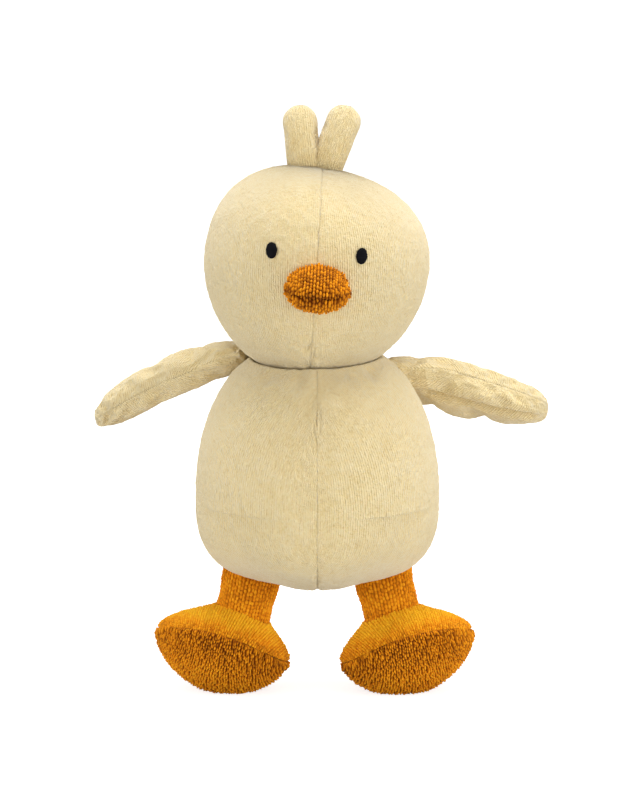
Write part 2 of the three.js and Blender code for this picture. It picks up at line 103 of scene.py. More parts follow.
def eased(value: Grid, low: float, high: float) -> Grid:
    """A share that eases from 0 at low to 1 at high, as 3t^2 - 2t^3."""
    share = np.clip((value - low) / (high - low), 0.0, 1.0)
    return share * share * (3.0 - 2.0 * share)


def turn_about(axis: str, degrees: float) -> Grid:
    """The matrix of a right-handed turn about one of the main axes.

    Args:
        axis: "x", "y" or "z".
        degrees: the angle.

    Returns:
        A 3 x 3 matrix for column vectors.
    """
    first, second = {"x": (1, 2), "y": (2, 0), "z": (0, 1)}[axis]
    matrix = np.eye(3)
    cosine, sine = math.cos(math.radians(degrees)), math.sin(math.radians(degrees))
    matrix[first, first] = matrix[second, second] = cosine
    matrix[first, second] = -sine
    matrix[second, first] = sine
    return matrix


def chance(*keys: Grid, seed: int) -> Grid:
    """Repeatable chances from 0 to 1 for sets of whole numbers.

    Each key is multiplied by its own large odd number, the products are joined bit by bit and then stirred.

    Args:
        keys: up to three arrays of whole numbers.
        seed: picks another set of chances.

    Returns:
        One chance for each set of keys.
    """
    mask = np.uint64(0xFFFFFFFF)
    mixed = np.uint64(seed * 2654435761 & 0xFFFFFFFF)
    for key, factor in zip(keys, (73856093, 19349663, 83492791)):
        mixed = mixed ^ (key.astype(np.int64).astype(np.uint64) * np.uint64(factor))
    mixed = mixed & mask
    mixed = ((mixed ^ (mixed >> np.uint64(15))) * np.uint64(2246822519)) & mask
    mixed = ((mixed ^ (mixed >> np.uint64(13))) * np.uint64(3266489917)) & mask
    return (mixed ^ (mixed >> np.uint64(16))).astype(float) / 2.0**32


def drift(points: Grid, pitch: float, seed: int) -> Grid:
    """Smooth random values from -1 to 1 through space.

    Every corner of a lattice has a chance of its own, and the eight around a point are mixed by eased shares.

    Args:
        points: places, with their three coordinates on the last axis.
        pitch: the lattice's spacing.
        seed: picks another set of values.

    Returns:
        One value for each place.
    """
    scaled = points / pitch
    cell = np.floor(scaled)
    share = eased(scaled - cell, 0.0, 1.0)
    total = np.zeros(points.shape[:-1])
    for corner in np.ndindex(2, 2, 2):
        weight = np.prod(np.where(np.array(corner) == 1, share, 1.0 - share), axis=-1)
        x, y, z = np.moveaxis(cell + np.array(corner), -1, 0)
        total += weight * (2.0 * chance(x, y, z, seed=seed) - 1.0)
    return total


def joint(name: str) -> tuple[Grid, Grid]:
    """A joint's pivot and axis at rest, in metres.

    Args:
        name: the joint's name in the frame.

    Returns:
        The pivot's place and the axis's direction.
    """
    found = next(row for row in frame["joints"] if row["name"] == name)
    return np.array(found["pos_m"]), unit(np.array(found["axis"]))


def stops(name: str) -> tuple[float, float, float]:
    """A joint's lower limit, its rest and its upper limit, in degrees."""
    low, high = next(row for row in frame["joints"] if row["name"] == name)["range_deg"]
    return low, 0.0, high


def square(rows: int, columns: int, graded: float = 0.0) -> tuple[Grid, Grid]:
    """The two parameters of a grid, each from -1 to 1.

    A graded grid is finer along its edges: a share of each parameter t is taken as sin(90 degrees times t).

    Args:
        rows: points along the second parameter.
        columns: points along the first parameter.
        graded: the share of the sine, from 0 to 1.

    Returns:
        The first and the second parameter at every grid point.
    """
    across, along = np.meshgrid(np.linspace(-1.0, 1.0, columns), np.linspace(-1.0, 1.0, rows))
    finer = [(1.0 - graded) * t + graded * np.sin(t * math.pi / 2.0) for t in (across, along)]
    return finer[0], finer[1]


def rounded(across: Grid, along: Grid) -> tuple[Grid, Grid]:
    """A square laid on a disc: each parameter times the root of one less half the other's square."""
    return across * np.sqrt(1.0 - along**2 / 2.0), along * np.sqrt(1.0 - across**2 / 2.0)


def reach_to_edge(across: Grid, along: Grid) -> Grid:
    """How far a point of the square is from the middle, as a share that is 1 all along the edge."""
    return np.sqrt(np.clip(across**2 + along**2 - across**2 * along**2, 0.0, 1.0))


def bell(distance: Grid, width: float) -> Grid:
    """A share that is 1 at no distance and falls off as exp(-(distance / width)^2)."""
    return np.exp(-((distance / width) ** 2))


def way_round(count: int) -> Grid:
    """Angles once round a circle, without a last one that would be the first again."""
    return np.linspace(0.0, math.tau, count, endpoint=False)


def closed_in(before: Callable[[Grid], Grid], shape: tuple[int, ...], span: float, rounds: int = 24) -> Grid:
    """Closes in on the place along each of many lines where a test changes, by halving its span.

    Args:
        before: True for each distance along its line that comes before the change.
        shape: the shape of the lines' array.
        span: the lines' length.
        rounds: how often it is halved.

    Returns:
        The last distances found before the change, and the first ones after it.
    """
    low, high = np.zeros(shape), np.full(shape, span)
    for _ in range(rounds):
        half = (low + high) / 2.0
        passed = before(half)
        low, high = np.where(passed, half, low), np.where(passed, high, half)
    return np.stack((low, high))


def between(coarse: Grid, step: int) -> Grid:
    """A finer grid through the points of a coarse one.

    Along each of the first two axes in turn, every gap is filled by the cubic curve through its two ends. The
    slope at each end is that of the straight line between the end's two neighbours.

    Args:
        coarse: rows x columns x anything.
        step: fine gaps to one coarse gap.

    Returns:
        The grid with (rows - 1) * step + 1 rows, and columns likewise.
    """
    result = coarse
    for axis in (0, 1):
        entries = np.moveaxis(result, axis, 0)
        ends = (2.0 * entries[:1] - entries[1:2], 2.0 * entries[-1:] - entries[-2:-1])
        padded = np.concatenate((ends[0], entries, ends[1]))
        place = np.arange((len(entries) - 1) * step + 1) / step
        start = np.minimum(place.astype(int), len(entries) - 2)
        share = (place - start).reshape(-1, *([1] * (entries.ndim - 1)))
        a, b, c, d = (padded[start + shift] for shift in range(4))
        bend = 2.0 * a - 5.0 * b + 4.0 * c - d + share * (3.0 * (b - c) + d - a)
        result = np.moveaxis(b + 0.5 * share * (c - a + share * bend), 0, axis)
    return result


def arc_weave(points: Grid) -> Grid:
    """Fabric coordinates of a grid, in metres.

    Across is the length along the middle row, the same for a whole column, so the ribs follow the columns.
    Along is the length down each column, from the middle row.

    Args:
        points: rows x columns x 3.

    Returns:
        rows x columns x 2: across and along.
    """
    middle = len(points) // 2
    widths = np.linalg.norm(np.diff(points[middle], axis=0), axis=-1)
    across = np.concatenate(([0.0], np.cumsum(widths)))
    lengths = np.linalg.norm(np.diff(points, axis=0), axis=-1)
    along = np.concatenate((np.zeros((1, points.shape[1])), np.cumsum(lengths, axis=0)))
    along = along - along[middle]
    return np.stack((np.broadcast_to(across, along.shape), along), axis=-1)


def numbered(rows: int, columns: int, start: int, closed: bool) -> Grid:
    """A grid of point numbers from a first one on, whose last column repeats the first where it is closed."""
    index = start + np.arange(rows * (columns - int(closed))).reshape(rows, -1)
    return np.concatenate((index, index[:, : int(closed)]), axis=1)


def quad_faces(index: Grid) -> Grid:
    """The four corners of every gap of a grid of point numbers, in outward order."""
    corners = (index[:-1, :-1], index[1:, :-1], index[1:, 1:], index[:-1, 1:])
    return np.stack(corners, axis=-1).reshape(-1, 4)


def rim_faces(fine: Grid, coarse: Grid, step: int) -> Grid:
    """Triangles that close the gap between a fine edge and a coarse one.

    Every fine gap joins the nearer coarse point, and one triangle at the middle of each coarse gap joins
    the two.

    Args:
        fine: the point numbers along the outside's edge.
        coarse: those along the back's edge.
        step: fine gaps to one coarse gap.

    Returns:
        Rows of three point numbers.
    """
    gaps = np.arange(len(fine) - 1)
    nearer = gaps // step + (gaps % step >= step // 2)
    fans = np.stack((fine[:-1], fine[1:], coarse[nearer]), axis=-1)
    starts = np.arange(len(coarse) - 1)
    joins = np.stack((fine[starts * step + step // 2], coarse[1:], coarse[:-1]), axis=-1)
    return np.concatenate((fans, joins))


@dataclass
class Panel:
    """One panel of fabric before it is sewn.

    Attributes:
        points: rows x columns x 3 places on the fabric's outside.
        weave: rows x columns x 2 metres across and along the fabric's ribs.
        step: grid gaps of the outside to one gap of the back.
        closed: whether the last column is the first one again.
        depth: the fabric's thickness, as a share of the full one, at every point.
        dark: how much the tone is lowered at every point: painted shade deep in a seam, painted light where
            it is below 0, and the beak's own darker tone all over it.
    """

    points: Grid
    weave: Grid
    step: int
    closed: bool = False
    depth: Grid | float = 1.0
    dark: Grid | float = 0.0

    def coarse(self, values: Grid) -> Grid:
        """The rows and columns of a grid of values that the back has too."""
        return values[:: self.step, :: self.step]

    def normals(self) -> Grid:
        """The outward directions: the step along a column crossed with the step along a row.

        At a corner of an open panel, where a round outline leaves the two steps in one line, it is the
        direction a few points further in.

        Returns:
            rows x columns x 3 vectors of length one.
        """
        points = self.points
        if self.closed:
            points = np.concatenate((points[:, -2:-1], points, points[:, 1:2]), axis=1)
        steps = unit(np.cross(np.gradient(points, axis=0), np.gradient(points, axis=1)))
        if self.closed:
            return steps[:, 1:-1]
        corner = 3
        ends = ((slice(0, corner), corner), (slice(-corner, None), -corner - 1))
        for rows, further_rows in ends:
            for columns, further_columns in ends:
                steps[rows, columns] = steps[further_rows, further_columns]
        return steps

    def shell(self, merged: bool) -> tuple[Grid, Grid]:
        """The faces of a closed shell: the outside, the back turned the other way, and the rim.

        Args:
            merged: True for the numbers of the shell's points, False for those of its fabric coordinates.

        Returns:
            The quads and the triangles.
        """
        outer = numbered(*self.points.shape[:2], 0, merged)
        back = numbered(*self.coarse(self.points).shape[:2], int(outer.max()) + 1, merged)
        quads = np.concatenate((quad_faces(outer), quad_faces(back)[:, ::-1]))
        edges = [(outer[0], back[0]), (outer[-1, ::-1], back[-1, ::-1])]
        if not self.closed:
            edges += [(outer[::-1, 0], back[::-1, 0]), (outer[:, -1], back[:, -1])]
        return quads, np.concatenate([rim_faces(fine, coarse, self.step) for fine, coarse in edges])

    def facing_out(self, inside: Grid) -> "Panel":
        """The panel with its columns turned round, if need be, so that it faces away from a point inside.

        Args:
            inside: a place on the stuffing's side.

        Returns:
            This panel, or its mirror in the order of its columns.
        """
        outward = np.sum(self.normals() * unit(self.points - inside), axis=-1).mean()
        if outward > 0.0:
            return self
        shares = {name: getattr(self, name) for name in ("depth", "dark")}
        mirrored = {name: share if np.isscalar(share) else share[:, ::-1] for name, share in shares.items()}
        return replace(self, points=self.points[:, ::-1], weave=self.weave[:, ::-1], **mirrored)


def new_mesh(name: str, points: Grid, quads: Grid, triangles: Grid = NO_TRIANGLES) -> Piece:
    """An object at the origin whose mesh is made of the given points and faces.

    Args:
        name: the object's name.
        points: rows of three coordinates.
        quads: rows of four point numbers.
        triangles: rows of three point numbers.

    Returns:
        The new object, smooth shaded, in the scene.
    """
    mesh = bpy.data.meshes.new(name)
    mesh.vertices.add(len(points))
    mesh.vertices.foreach_set("co", points.astype(np.float32).ravel())
    corners = np.concatenate((quads.ravel(), triangles.ravel())).astype(np.int32)
    mesh.loops.add(len(corners))
    mesh.loops.foreach_set("vertex_index", corners)
    sizes = np.concatenate((np.full(len(quads), 4), np.full(len(triangles), 3)))
    starts = np.concatenate(([0], np.cumsum(sizes)[:-1])).astype(np.int32)
    mesh.polygons.add(len(sizes))
    mesh.polygons.foreach_set("loop_start", starts)
    mesh.polygons.foreach_set("use_smooth", np.ones(len(sizes), dtype=bool))
    mesh.update(calc_edges=True)
    piece = bpy.data.objects.new(name, mesh)
    bpy.context.scene.collection.objects.link(piece)
    return piece


def places_of(mesh: bpy.types.Mesh) -> Grid:
    """The places of a mesh's points, as rows of three coordinates."""
    flat = np.empty(3 * len(mesh.vertices), dtype=np.float32)
    mesh.vertices.foreach_get("co", flat)
    return flat.reshape(-1, 3).astype(float)


def tint(piece: Piece, tones: Grid) -> None:
    """Writes a tone from 0 to 1 for every point of a piece, which its material reads."""
    values = piece.data.attributes.new("tone", "FLOAT", "POINT").data
    values.foreach_set("value", tones.astype(np.float32).ravel())


@dataclass(frozen=True)
class Stuffing:
    """How tightly a cover is stuffed, for the cloth simulation.

    Attributes:
        slack: how much larger than its form the cloth is cut, as a share.
        enlarged: the simulation runs on a model this many times larger, where Blender's cloth is steadier.
        uneven: the first unevenness, from which the creases grow.
    """

    cap: float
    pressure: float = 6.0
    slack: float = 0.03
    frames: int = 20
    enlarged: float = 10.0
    uneven: float = 0.1 * MM
    uneven_pitch: float = 5.0 * MM

    def swelled(self, panel: Panel, held: Grid, seed: int) -> Grid:
        """Where the cloth goes when its cover is stuffed.

        The back's coarse grid is simulated with the held points fixed. Each move is then shortened to
        cap * tanh(move / cap), and filled in between the coarse points.

        Args:
            panel: the panel as it is cut.
            held: True at the points of the fine grid that are sewn down.
            seed: picks the first unevenness.

        Returns:
            A move for every point of the panel.
        """
        start = panel.coarse(panel.points)
        lumps = self.uneven * drift(start, self.uneven_pitch, seed)
        rows, columns = start.shape[:2]
        width = columns - 1 if panel.closed else columns
        cut = (start + lumps[..., None] * panel.coarse(panel.normals()))[:, :width].reshape(-1, 3)
        quads = quad_faces(numbered(rows, columns, 0, panel.closed))
        fixed = np.flatnonzero(panel.coarse(held)[:, :width])
        ended = self.simulated(cut * self.enlarged, quads, fixed).reshape(rows, width, 3) / self.enlarged
        move = np.concatenate((ended, ended[:, :1]), axis=1)[:, :columns] - start
        size = np.maximum(np.linalg.norm(move, axis=-1, keepdims=True), TINY)
        move *= self.cap * np.tanh(size / self.cap) / size
        LOG.info("stuffed: mean move %.2f mm, largest %.2f mm", size.mean() / MM, size.max() / MM)
        return between(move, panel.step)

    def simulated(self, points: Grid, quads: Grid, fixed: Grid) -> Grid:
        """Where the cloth simulation, without gravity, brings a cover's points under pressure.

        Args:
            points: the cloth's points, enlarged.
            quads: its faces, as rows of four point numbers.
            fixed: the numbers of the points that are sewn down.

        Returns:
            The points after the last frame, still enlarged.
        """
        cloth = new_mesh("cloth", points, quads)
        cloth.vertex_groups.new(name="sewn").add(fixed.tolist(), 1.0, "REPLACE")
        modifier = cloth.modifiers.new("stuffing", "CLOTH")
        settings = modifier.settings
        settings.quality = 6
        settings.mass = 0.05
        settings.tension_stiffness = 20.0
        settings.compression_stiffness = 20.0
        settings.shear_stiffness = 8.0
        settings.bending_stiffness = 0.3
        settings.air_damping = 2.0
        settings.use_pressure = True
        settings.uniform_pressure_force = self.pressure
        settings.shrink_min = -self.slack
        settings.vertex_group_mass = "sewn"
        settings.effector_weights.gravity = 0.0
        modifier.collision_settings.use_collision = False
        modifier.point_cache.frame_start = 1
        modifier.point_cache.frame_end = self.frames
        for number in range(1, self.frames + 1):
            bpy.context.scene.frame_set(number)
        ended = places_of(cloth.evaluated_get(bpy.context.evaluated_depsgraph_get()).data)
        bpy.data.meshes.remove(cloth.data)
        bpy.context.scene.frame_set(1)
        return ended


class Nodes:
    """A material's nodes, with short ways to add and join them."""

    def __init__(self, name: str) -> None:
        """Starts a material of one Principled shader and its output.

        Args:
            name: the material's name.
        """
        self.material = bpy.data.materials.new(name)
        self.material.use_nodes = True
        self.tree = self.material.node_tree
        self.tree.nodes.clear()
        self.shader = self.add("ShaderNodeBsdfPrincipled")
        self.join(self.shader.outputs["BSDF"], self.add("ShaderNodeOutputMaterial").inputs["Surface"])

    def add(self, kind: str, **values: float | tuple | str) -> bpy.types.Node:
        """A new node.

        Args:
            kind: the node's type.
            values: attributes of the node, or values of its inputs with spaces as underscores.

        Returns:
            The node.
        """
        node = self.tree.nodes.new(kind)
        for key, value in values.items():
            if hasattr(node, key):
                setattr(node, key, value)
            else:
                node.inputs[key.replace("_", " ")].default_value = value
        return node

    def join(self, source: Socket, target: Socket) -> None:
        """Links an output to an input."""
        self.tree.links.new(source, target)

    def shade(self, **values: float | tuple) -> None:
        """Sets inputs of the shader, whose names have underscores here for spaces."""
        for name, value in values.items():
            self.shader.inputs[name.replace("_", " ")].default_value = value

    def sum_of(self, operation: str, *terms: Socket | float) -> Socket:
        """The result of a Math node.

        Args:
            operation: what the node does.
            terms: sockets that are joined to its inputs, or numbers that are set there.

        Returns:
            The result's socket.
        """
        node = self.add("ShaderNodeMath", operation=operation)
        for place, term in zip(node.inputs, terms):
            if isinstance(term, Socket):
                self.join(term, place)
            else:
                place.default_value = term
        return node.outputs[0]

    def weighed(self, *parts: tuple[Socket, float]) -> Socket:
        """The sum of sockets, each times its weight.

        Args:
            parts: the sockets and their weights.

        Returns:
            The sum's socket.
        """
        (first, first_weight), *others = parts
        total = self.sum_of("MULTIPLY", first, first_weight)
        for socket, weight in others:
            total = self.sum_of("MULTIPLY_ADD", socket, weight, total)
        return total

    def noise(self, size: float, detail: float = 2.0, uneven: float = 0.5) -> Socket:
        """Noise on Object coordinates.

        Args:
            size: about how far across its lumps are, in metres.
            detail: how many finer layers it has.
            uneven: how strong these are.

        Returns:
            The noise's socket, from 0 to 1.
        """
        node = self.add("ShaderNodeTexNoise", Scale=1.0 / size, Detail=detail, Roughness=uneven)
        self.join(self.add("ShaderNodeTexCoord").outputs["Object"], node.inputs["Vector"])
        return node.outputs["Fac"]

    def across_ribs(self) -> Socket:
        """The metres across the fabric's ribs, from the piece's own UV map."""
        parts = self.add("ShaderNodeSeparateXYZ")
        self.join(self.add("ShaderNodeUVMap", uv_map="weave").outputs["UV"], parts.inputs["Vector"])
        return parts.outputs["X"]

    def tone(self) -> Socket:
        """The piece's own tone, from 0 to 1."""
        return self.add("ShaderNodeAttribute", attribute_name="tone").outputs["Fac"]

    def colour_between(self, share: Socket, *marks: tuple[float, Colour]) -> None:
        """Sets the base colour by a share.

        Args:
            share: the socket that picks the colour.
            marks: shares and their linear colours, between which the colour changes evenly.
        """
        ramp = self.add("ShaderNodeValToRGB")
        elements = ramp.color_ramp.elements
        while len(elements) < len(marks):
            elements.new(0.5)
        for element, (place, colour) in zip(elements, marks):
            element.position = place
            element.color = (*colour, 1.0)
        self.join(share, ramp.inputs["Fac"])
        self.join(ramp.outputs["Color"], self.shader.inputs["Base Color"])

    def bump(self, height: Socket, depth: float, strength: float) -> None:
        """Roughens the surface.

        Args:
            height: the socket of the height, from 0 to 1.
            depth: the metres that a height of 1 stands for.
            strength: how much of it shows.
        """
        node = self.add("ShaderNodeBump", Distance=depth, Strength=strength)
        self.join(height, node.inputs["Height"])
        self.join(node.outputs["Normal"], self.shader.inputs["Normal"])

    def cloth(self, roughness: float, sheen: float, spread: float, bloom: Colour) -> None:
        """Sets a matt shader with a soft bloom at its edges.

        Args:
            roughness: the base's roughness.
            sheen: the bloom's weight.
            spread: the bloom's roughness.
            bloom: the bloom's linear colour.
        """
        self.shade(Roughness=roughness, Specular_IOR_Level=0.15)
        self.shade(Sheen_Weight=sheen, Sheen_Roughness=spread, Sheen_Tint=(*bloom, 1.0))


@dataclass(frozen=True)
class Velour:
    """Pale yellow velour: fine ribs of short pile, brushed one way and another in patches.

    Attributes:
        shares: what the ribs, the tufts, the patches and the pile's tone add to the colour's share.
    """

    slot: str = "velour"
    name: str = "pale_velour"
    thickness: float = 1.6 * MM
    rib: float = 0.9 * MM
    patch: float = 2.2 * MM
    fine: float = 2.7
    pile: float = 0.28 * MM
    fill: float = 0.85
    stray: float = 1.6 * MM
    stray_turn: float = 4.0
    tuft: float = 1.1 * MM
    broad: float = 9.0 * MM
    shares: tuple[float, float, float, float] = (0.05, 0.95, 0.25, 0.30)
    base: float = 0.20
    shade: Colour = (0.740, 0.535, 0.220)
    body: Colour = (0.870, 0.695, 0.365)
    light: Colour = (0.920, 0.790, 0.520)

    def roughened(self, panel: Panel, seed: int) -> tuple[Grid, Grid]:
        """The panel's points with the pile's unevenness along their normals.

        Two drifts are summed, one of a patch's pitch and one of about a third of it.

        Args:
            panel: the stuffed panel.
            seed: picks another unevenness.

        Returns:
            The moved points, and a tone from 0 to 1 that is lighter where the pile stands up.
        """
        wide = drift(panel.points, self.patch, seed)
        fine = drift(panel.points, self.patch / self.fine, seed + 1)
        rise = 0.65 * wide + 0.35 * fine
        points = panel.points + panel.normals() * (self.pile * rise)[..., None]
        return points, np.clip(0.5 + 0.5 * rise, 0.0, 1.0)

    def material(self) -> bpy.types.Material:
        """The velour's nodes: the pile's tufts and patches, ribs along the weave, and a pale bloom.

        Returns:
            The material.
        """
        nodes = Nodes(self.name)
        stray = nodes.sum_of("MULTIPLY", nodes.noise(self.stray), self.stray_turn)
        waves = nodes.sum_of("MULTIPLY", nodes.across_ribs(), math.tau / self.rib)
        ribs = nodes.sum_of("SINE", nodes.sum_of("ADD", waves, stray))
        tufts = nodes.noise(self.tuft, 3.0, 0.65)
        parts = (ribs, tufts, nodes.noise(self.broad, 3.0, 0.6), nodes.tone())
        share = nodes.sum_of("SUBTRACT", nodes.weighed(*zip(parts, self.shares)), self.base)
        nodes.colour_between(share, (0.1, self.shade), (0.5, self.body), (0.95, self.light))
        nodes.bump(nodes.sum_of("MULTIPLY_ADD", ribs, 0.13, tufts), depth=1.0 * MM, strength=1.0)
        nodes.cloth(roughness=0.95, sheen=0.85, spread=0.35, bloom=(1.0, 0.96, 0.86))
        return nodes.material


@dataclass(frozen=True)
class Terry:
    """Mustard towelling: rows of loops that stand up along the fabric's ribs.

    Attributes:
        between: the tone between the loops, painted shade in their hollows.
        crown: the tone on top of them, painted light on their tops.
    """

    slot: str = "terry"
    name: str = "mustard_terry"
    thickness: float = 2.2 * MM
    rib: float = 1.15 * MM
    loop: float = 1.3 * MM
    height: float = 1.2 * MM
    loop_aside: float = 0.48
    loop_ahead: float = 0.60
    wander: float = 0.24
    lean: float = 0.25
    between: float = -0.05
    crown: float = 0.70
    fill: float = 0.9
    # shade is the colour of the painted shade between the loops, and light that of the painted light on their
    # tops
    shade: Colour = (0.220, 0.050, 0.001)
    body: Colour = (0.800, 0.270, 0.005)
    light: Colour = (0.970, 0.470, 0.016)

    def roughened(self, panel: Panel, seed: int) -> tuple[Grid, Grid]:
        """The panel's points raised into loops.

        A loop is a dome, the root of one less the squares of the distances across and along from its middle.
        Each rib is shifted along by chance, and each loop has its own place, size, lean and tone by chance.

        Args:
            panel: the stuffed panel.
            seed: picks another set of loops.

        Returns:
            The moved points, and a tone from 0 to 1: painted shade between the loops and in seams, painted
            light on the loops' tops, and each loop's random tone.
        """
        across = panel.weave[..., 0] / self.rib
        rib = np.floor(across)
        along = panel.weave[..., 1] / self.loop + chance(rib, seed=seed)
        row = np.floor(along)
        sway, slip, size, tone = (chance(rib, row, seed=seed + number) - 0.5 for number in range(1, 5))
        aside = (across - rib - 0.5 - self.wander * sway) / self.loop_aside
        ahead = (along - row - 0.5 - self.wander * slip) / self.loop_ahead
        dome = np.sqrt(np.clip(1.0 - aside**2 - ahead**2, 0.0, 1.0))
        rise = self.height * (1.0 + 0.6 * size) * dome
        out = panel.normals()
        down = unit(np.gradient(panel.points, axis=0))
        over = np.cross(out, down)
        points = panel.points + out * rise[..., None]
        points += down * (rise * (self.lean + 0.4 * slip))[..., None] + over * (rise * 0.5 * sway)[..., None]
        # the tone paints shade between the loops and in seams, and light on the loops' tops
        lit = self.between + (self.crown - self.between) * dome - panel.dark
        return points, np.clip(lit + 0.45 * tone * dome, 0.0, 1.0)

    def material(self) -> bpy.types.Material:
        """The terry's nodes: each loop's random tone with painted shade between the loops and painted light
        on their tops, worn patches, and the yarn's fine fibres.

        Returns:
            The material.
        """
        nodes = Nodes(self.name)
        fibres = nodes.noise(0.22 * MM, 2.0, 0.6)
        worn = nodes.noise(7.0 * MM, 2.0, 0.5)
        fibre_share = nodes.sum_of("MULTIPLY_ADD", fibres, 0.30, -0.15)
        worn_share = nodes.sum_of("MULTIPLY_ADD", worn, 0.40, fibre_share)
        share = nodes.sum_of("ADD", nodes.tone(), nodes.sum_of("SUBTRACT", worn_share, 0.2))
        nodes.colour_between(share, (0.05, self.shade), (0.5, self.body), (1.0, self.light))
        nodes.bump(fibres, depth=0.12 * MM, strength=0.5)
        nodes.cloth(roughness=0.9, sheen=0.40, spread=0.4, bloom=(1.0, 0.62, 0.08))
        return nodes.material


@dataclass(frozen=True)
class SatinStitch:
    """Black embroidery: close flat stitches that run across the eye."""

    slot: str = "eye_thread"
    name: str = "black_stitching"
    thickness: float = 0.5 * MM
    stitch: float = 0.42 * MM
    height: float = 0.09 * MM
    fill: float = 1.0
    shade: Colour = (0.003, 0.003, 0.004)
    light: Colour = (0.009, 0.0085, 0.010)

    def roughened(self, panel: Panel, seed: int) -> tuple[Grid, Grid]:
        """The panel's points with a half-round ridge for every stitch.

        Args:
            panel: the bare oval.
            seed: picks the stitches' tones.

        Returns:
            The moved points, and a tone from 0 to 1 for each stitch: random, with painted light on its ridge
            and painted shade between stitches.
        """
        place = panel.weave[..., 1] / self.stitch
        stitch = np.floor(place)
        ridge = np.sin(math.pi * (place - stitch))
        points = panel.points + panel.normals() * (self.height * ridge)[..., None]
        # painted light on each stitch's ridge and painted shade between stitches, mixed with a random tone
        return points, np.clip(0.5 * ridge + 0.5 * chance(stitch, seed=seed), 0.0, 1.0)

    def material(self) -> bpy.types.Material:
        """The stitches' nodes: a random tone for each with painted light on its ridge, fine filaments, and
        hardly any gloss.

        Returns:
            The material.
        """
        nodes = Nodes(self.name)
        filaments = nodes.noise(0.15 * MM, 2.0, 0.6)
        share = nodes.weighed((nodes.tone(), 0.6), (filaments, 0.4))
        nodes.colour_between(share, (0.2, self.shade), (0.9, self.light))
        nodes.bump(filaments, depth=0.06 * MM, strength=0.4)
        nodes.shade(Roughness=0.5, Specular_IOR_Level=0.03)
        return nodes.material


@dataclass(frozen=True)
class Fibre:
    """White polyester stuffing: lumps of crimped fibre."""

    slot: str = "filling"
    name: str = "white_fibre"
    lump: float = 7.0 * MM
    height: float = 0.5 * MM
    seed: int = 7
    fill: float = 0.8
    shade: Colour = (0.62, 0.61, 0.58)
    light: Colour = (0.87, 0.86, 0.83)

    def material(self) -> bpy.types.Material:
        """The fibre's nodes: fine strands and wider clumps in white and grey.

        Returns:
            The material.
        """
        nodes = Nodes(self.name)
        strands = nodes.noise(0.7 * MM, 5.0, 0.7)
        share = nodes.weighed((nodes.noise(self.lump, 3.0, 0.6), 0.4), (strands, 0.6))
        nodes.colour_between(share, (0.2, self.shade), (0.8, self.light))
        nodes.bump(strands, depth=0.8 * MM, strength=0.7)
        nodes.cloth(roughness=1.0, sheen=0.2, spread=0.5, bloom=(1.0, 1.0, 1.0))
        return nodes.material


@dataclass(frozen=True)
class SeamThread:
    """Pale two-ply sewing thread, which has no filling."""

    slot: str = "seam_thread"
    name: str = "pale_thread"
    fill: float | None = None
    shade: Colour = (0.48, 0.36, 0.17)
    light: Colour = (0.82, 0.70, 0.42)

    def material(self) -> bpy.types.Material:
        """The thread's nodes: painted light on the plies' ridges and painted shade between them, with fine
        filaments.

        Returns:
            The material.
        """
        nodes = Nodes(self.name)
        filaments = nodes.noise(0.12 * MM, 2.0, 0.6)
        share = nodes.weighed((nodes.tone(), 0.5), (filaments, 0.5))
        nodes.colour_between(share, (0.2, self.shade), (0.8, self.light))
        nodes.bump(filaments, depth=0.05 * MM, strength=0.5)
        nodes.cloth(roughness=0.7, sheen=0.1, spread=0.4, bloom=(1.0, 0.95, 0.85))
        return nodes.material


Cover = Velour | Terry | SatinStitch
Finish = Cover | Fibre | SeamThread


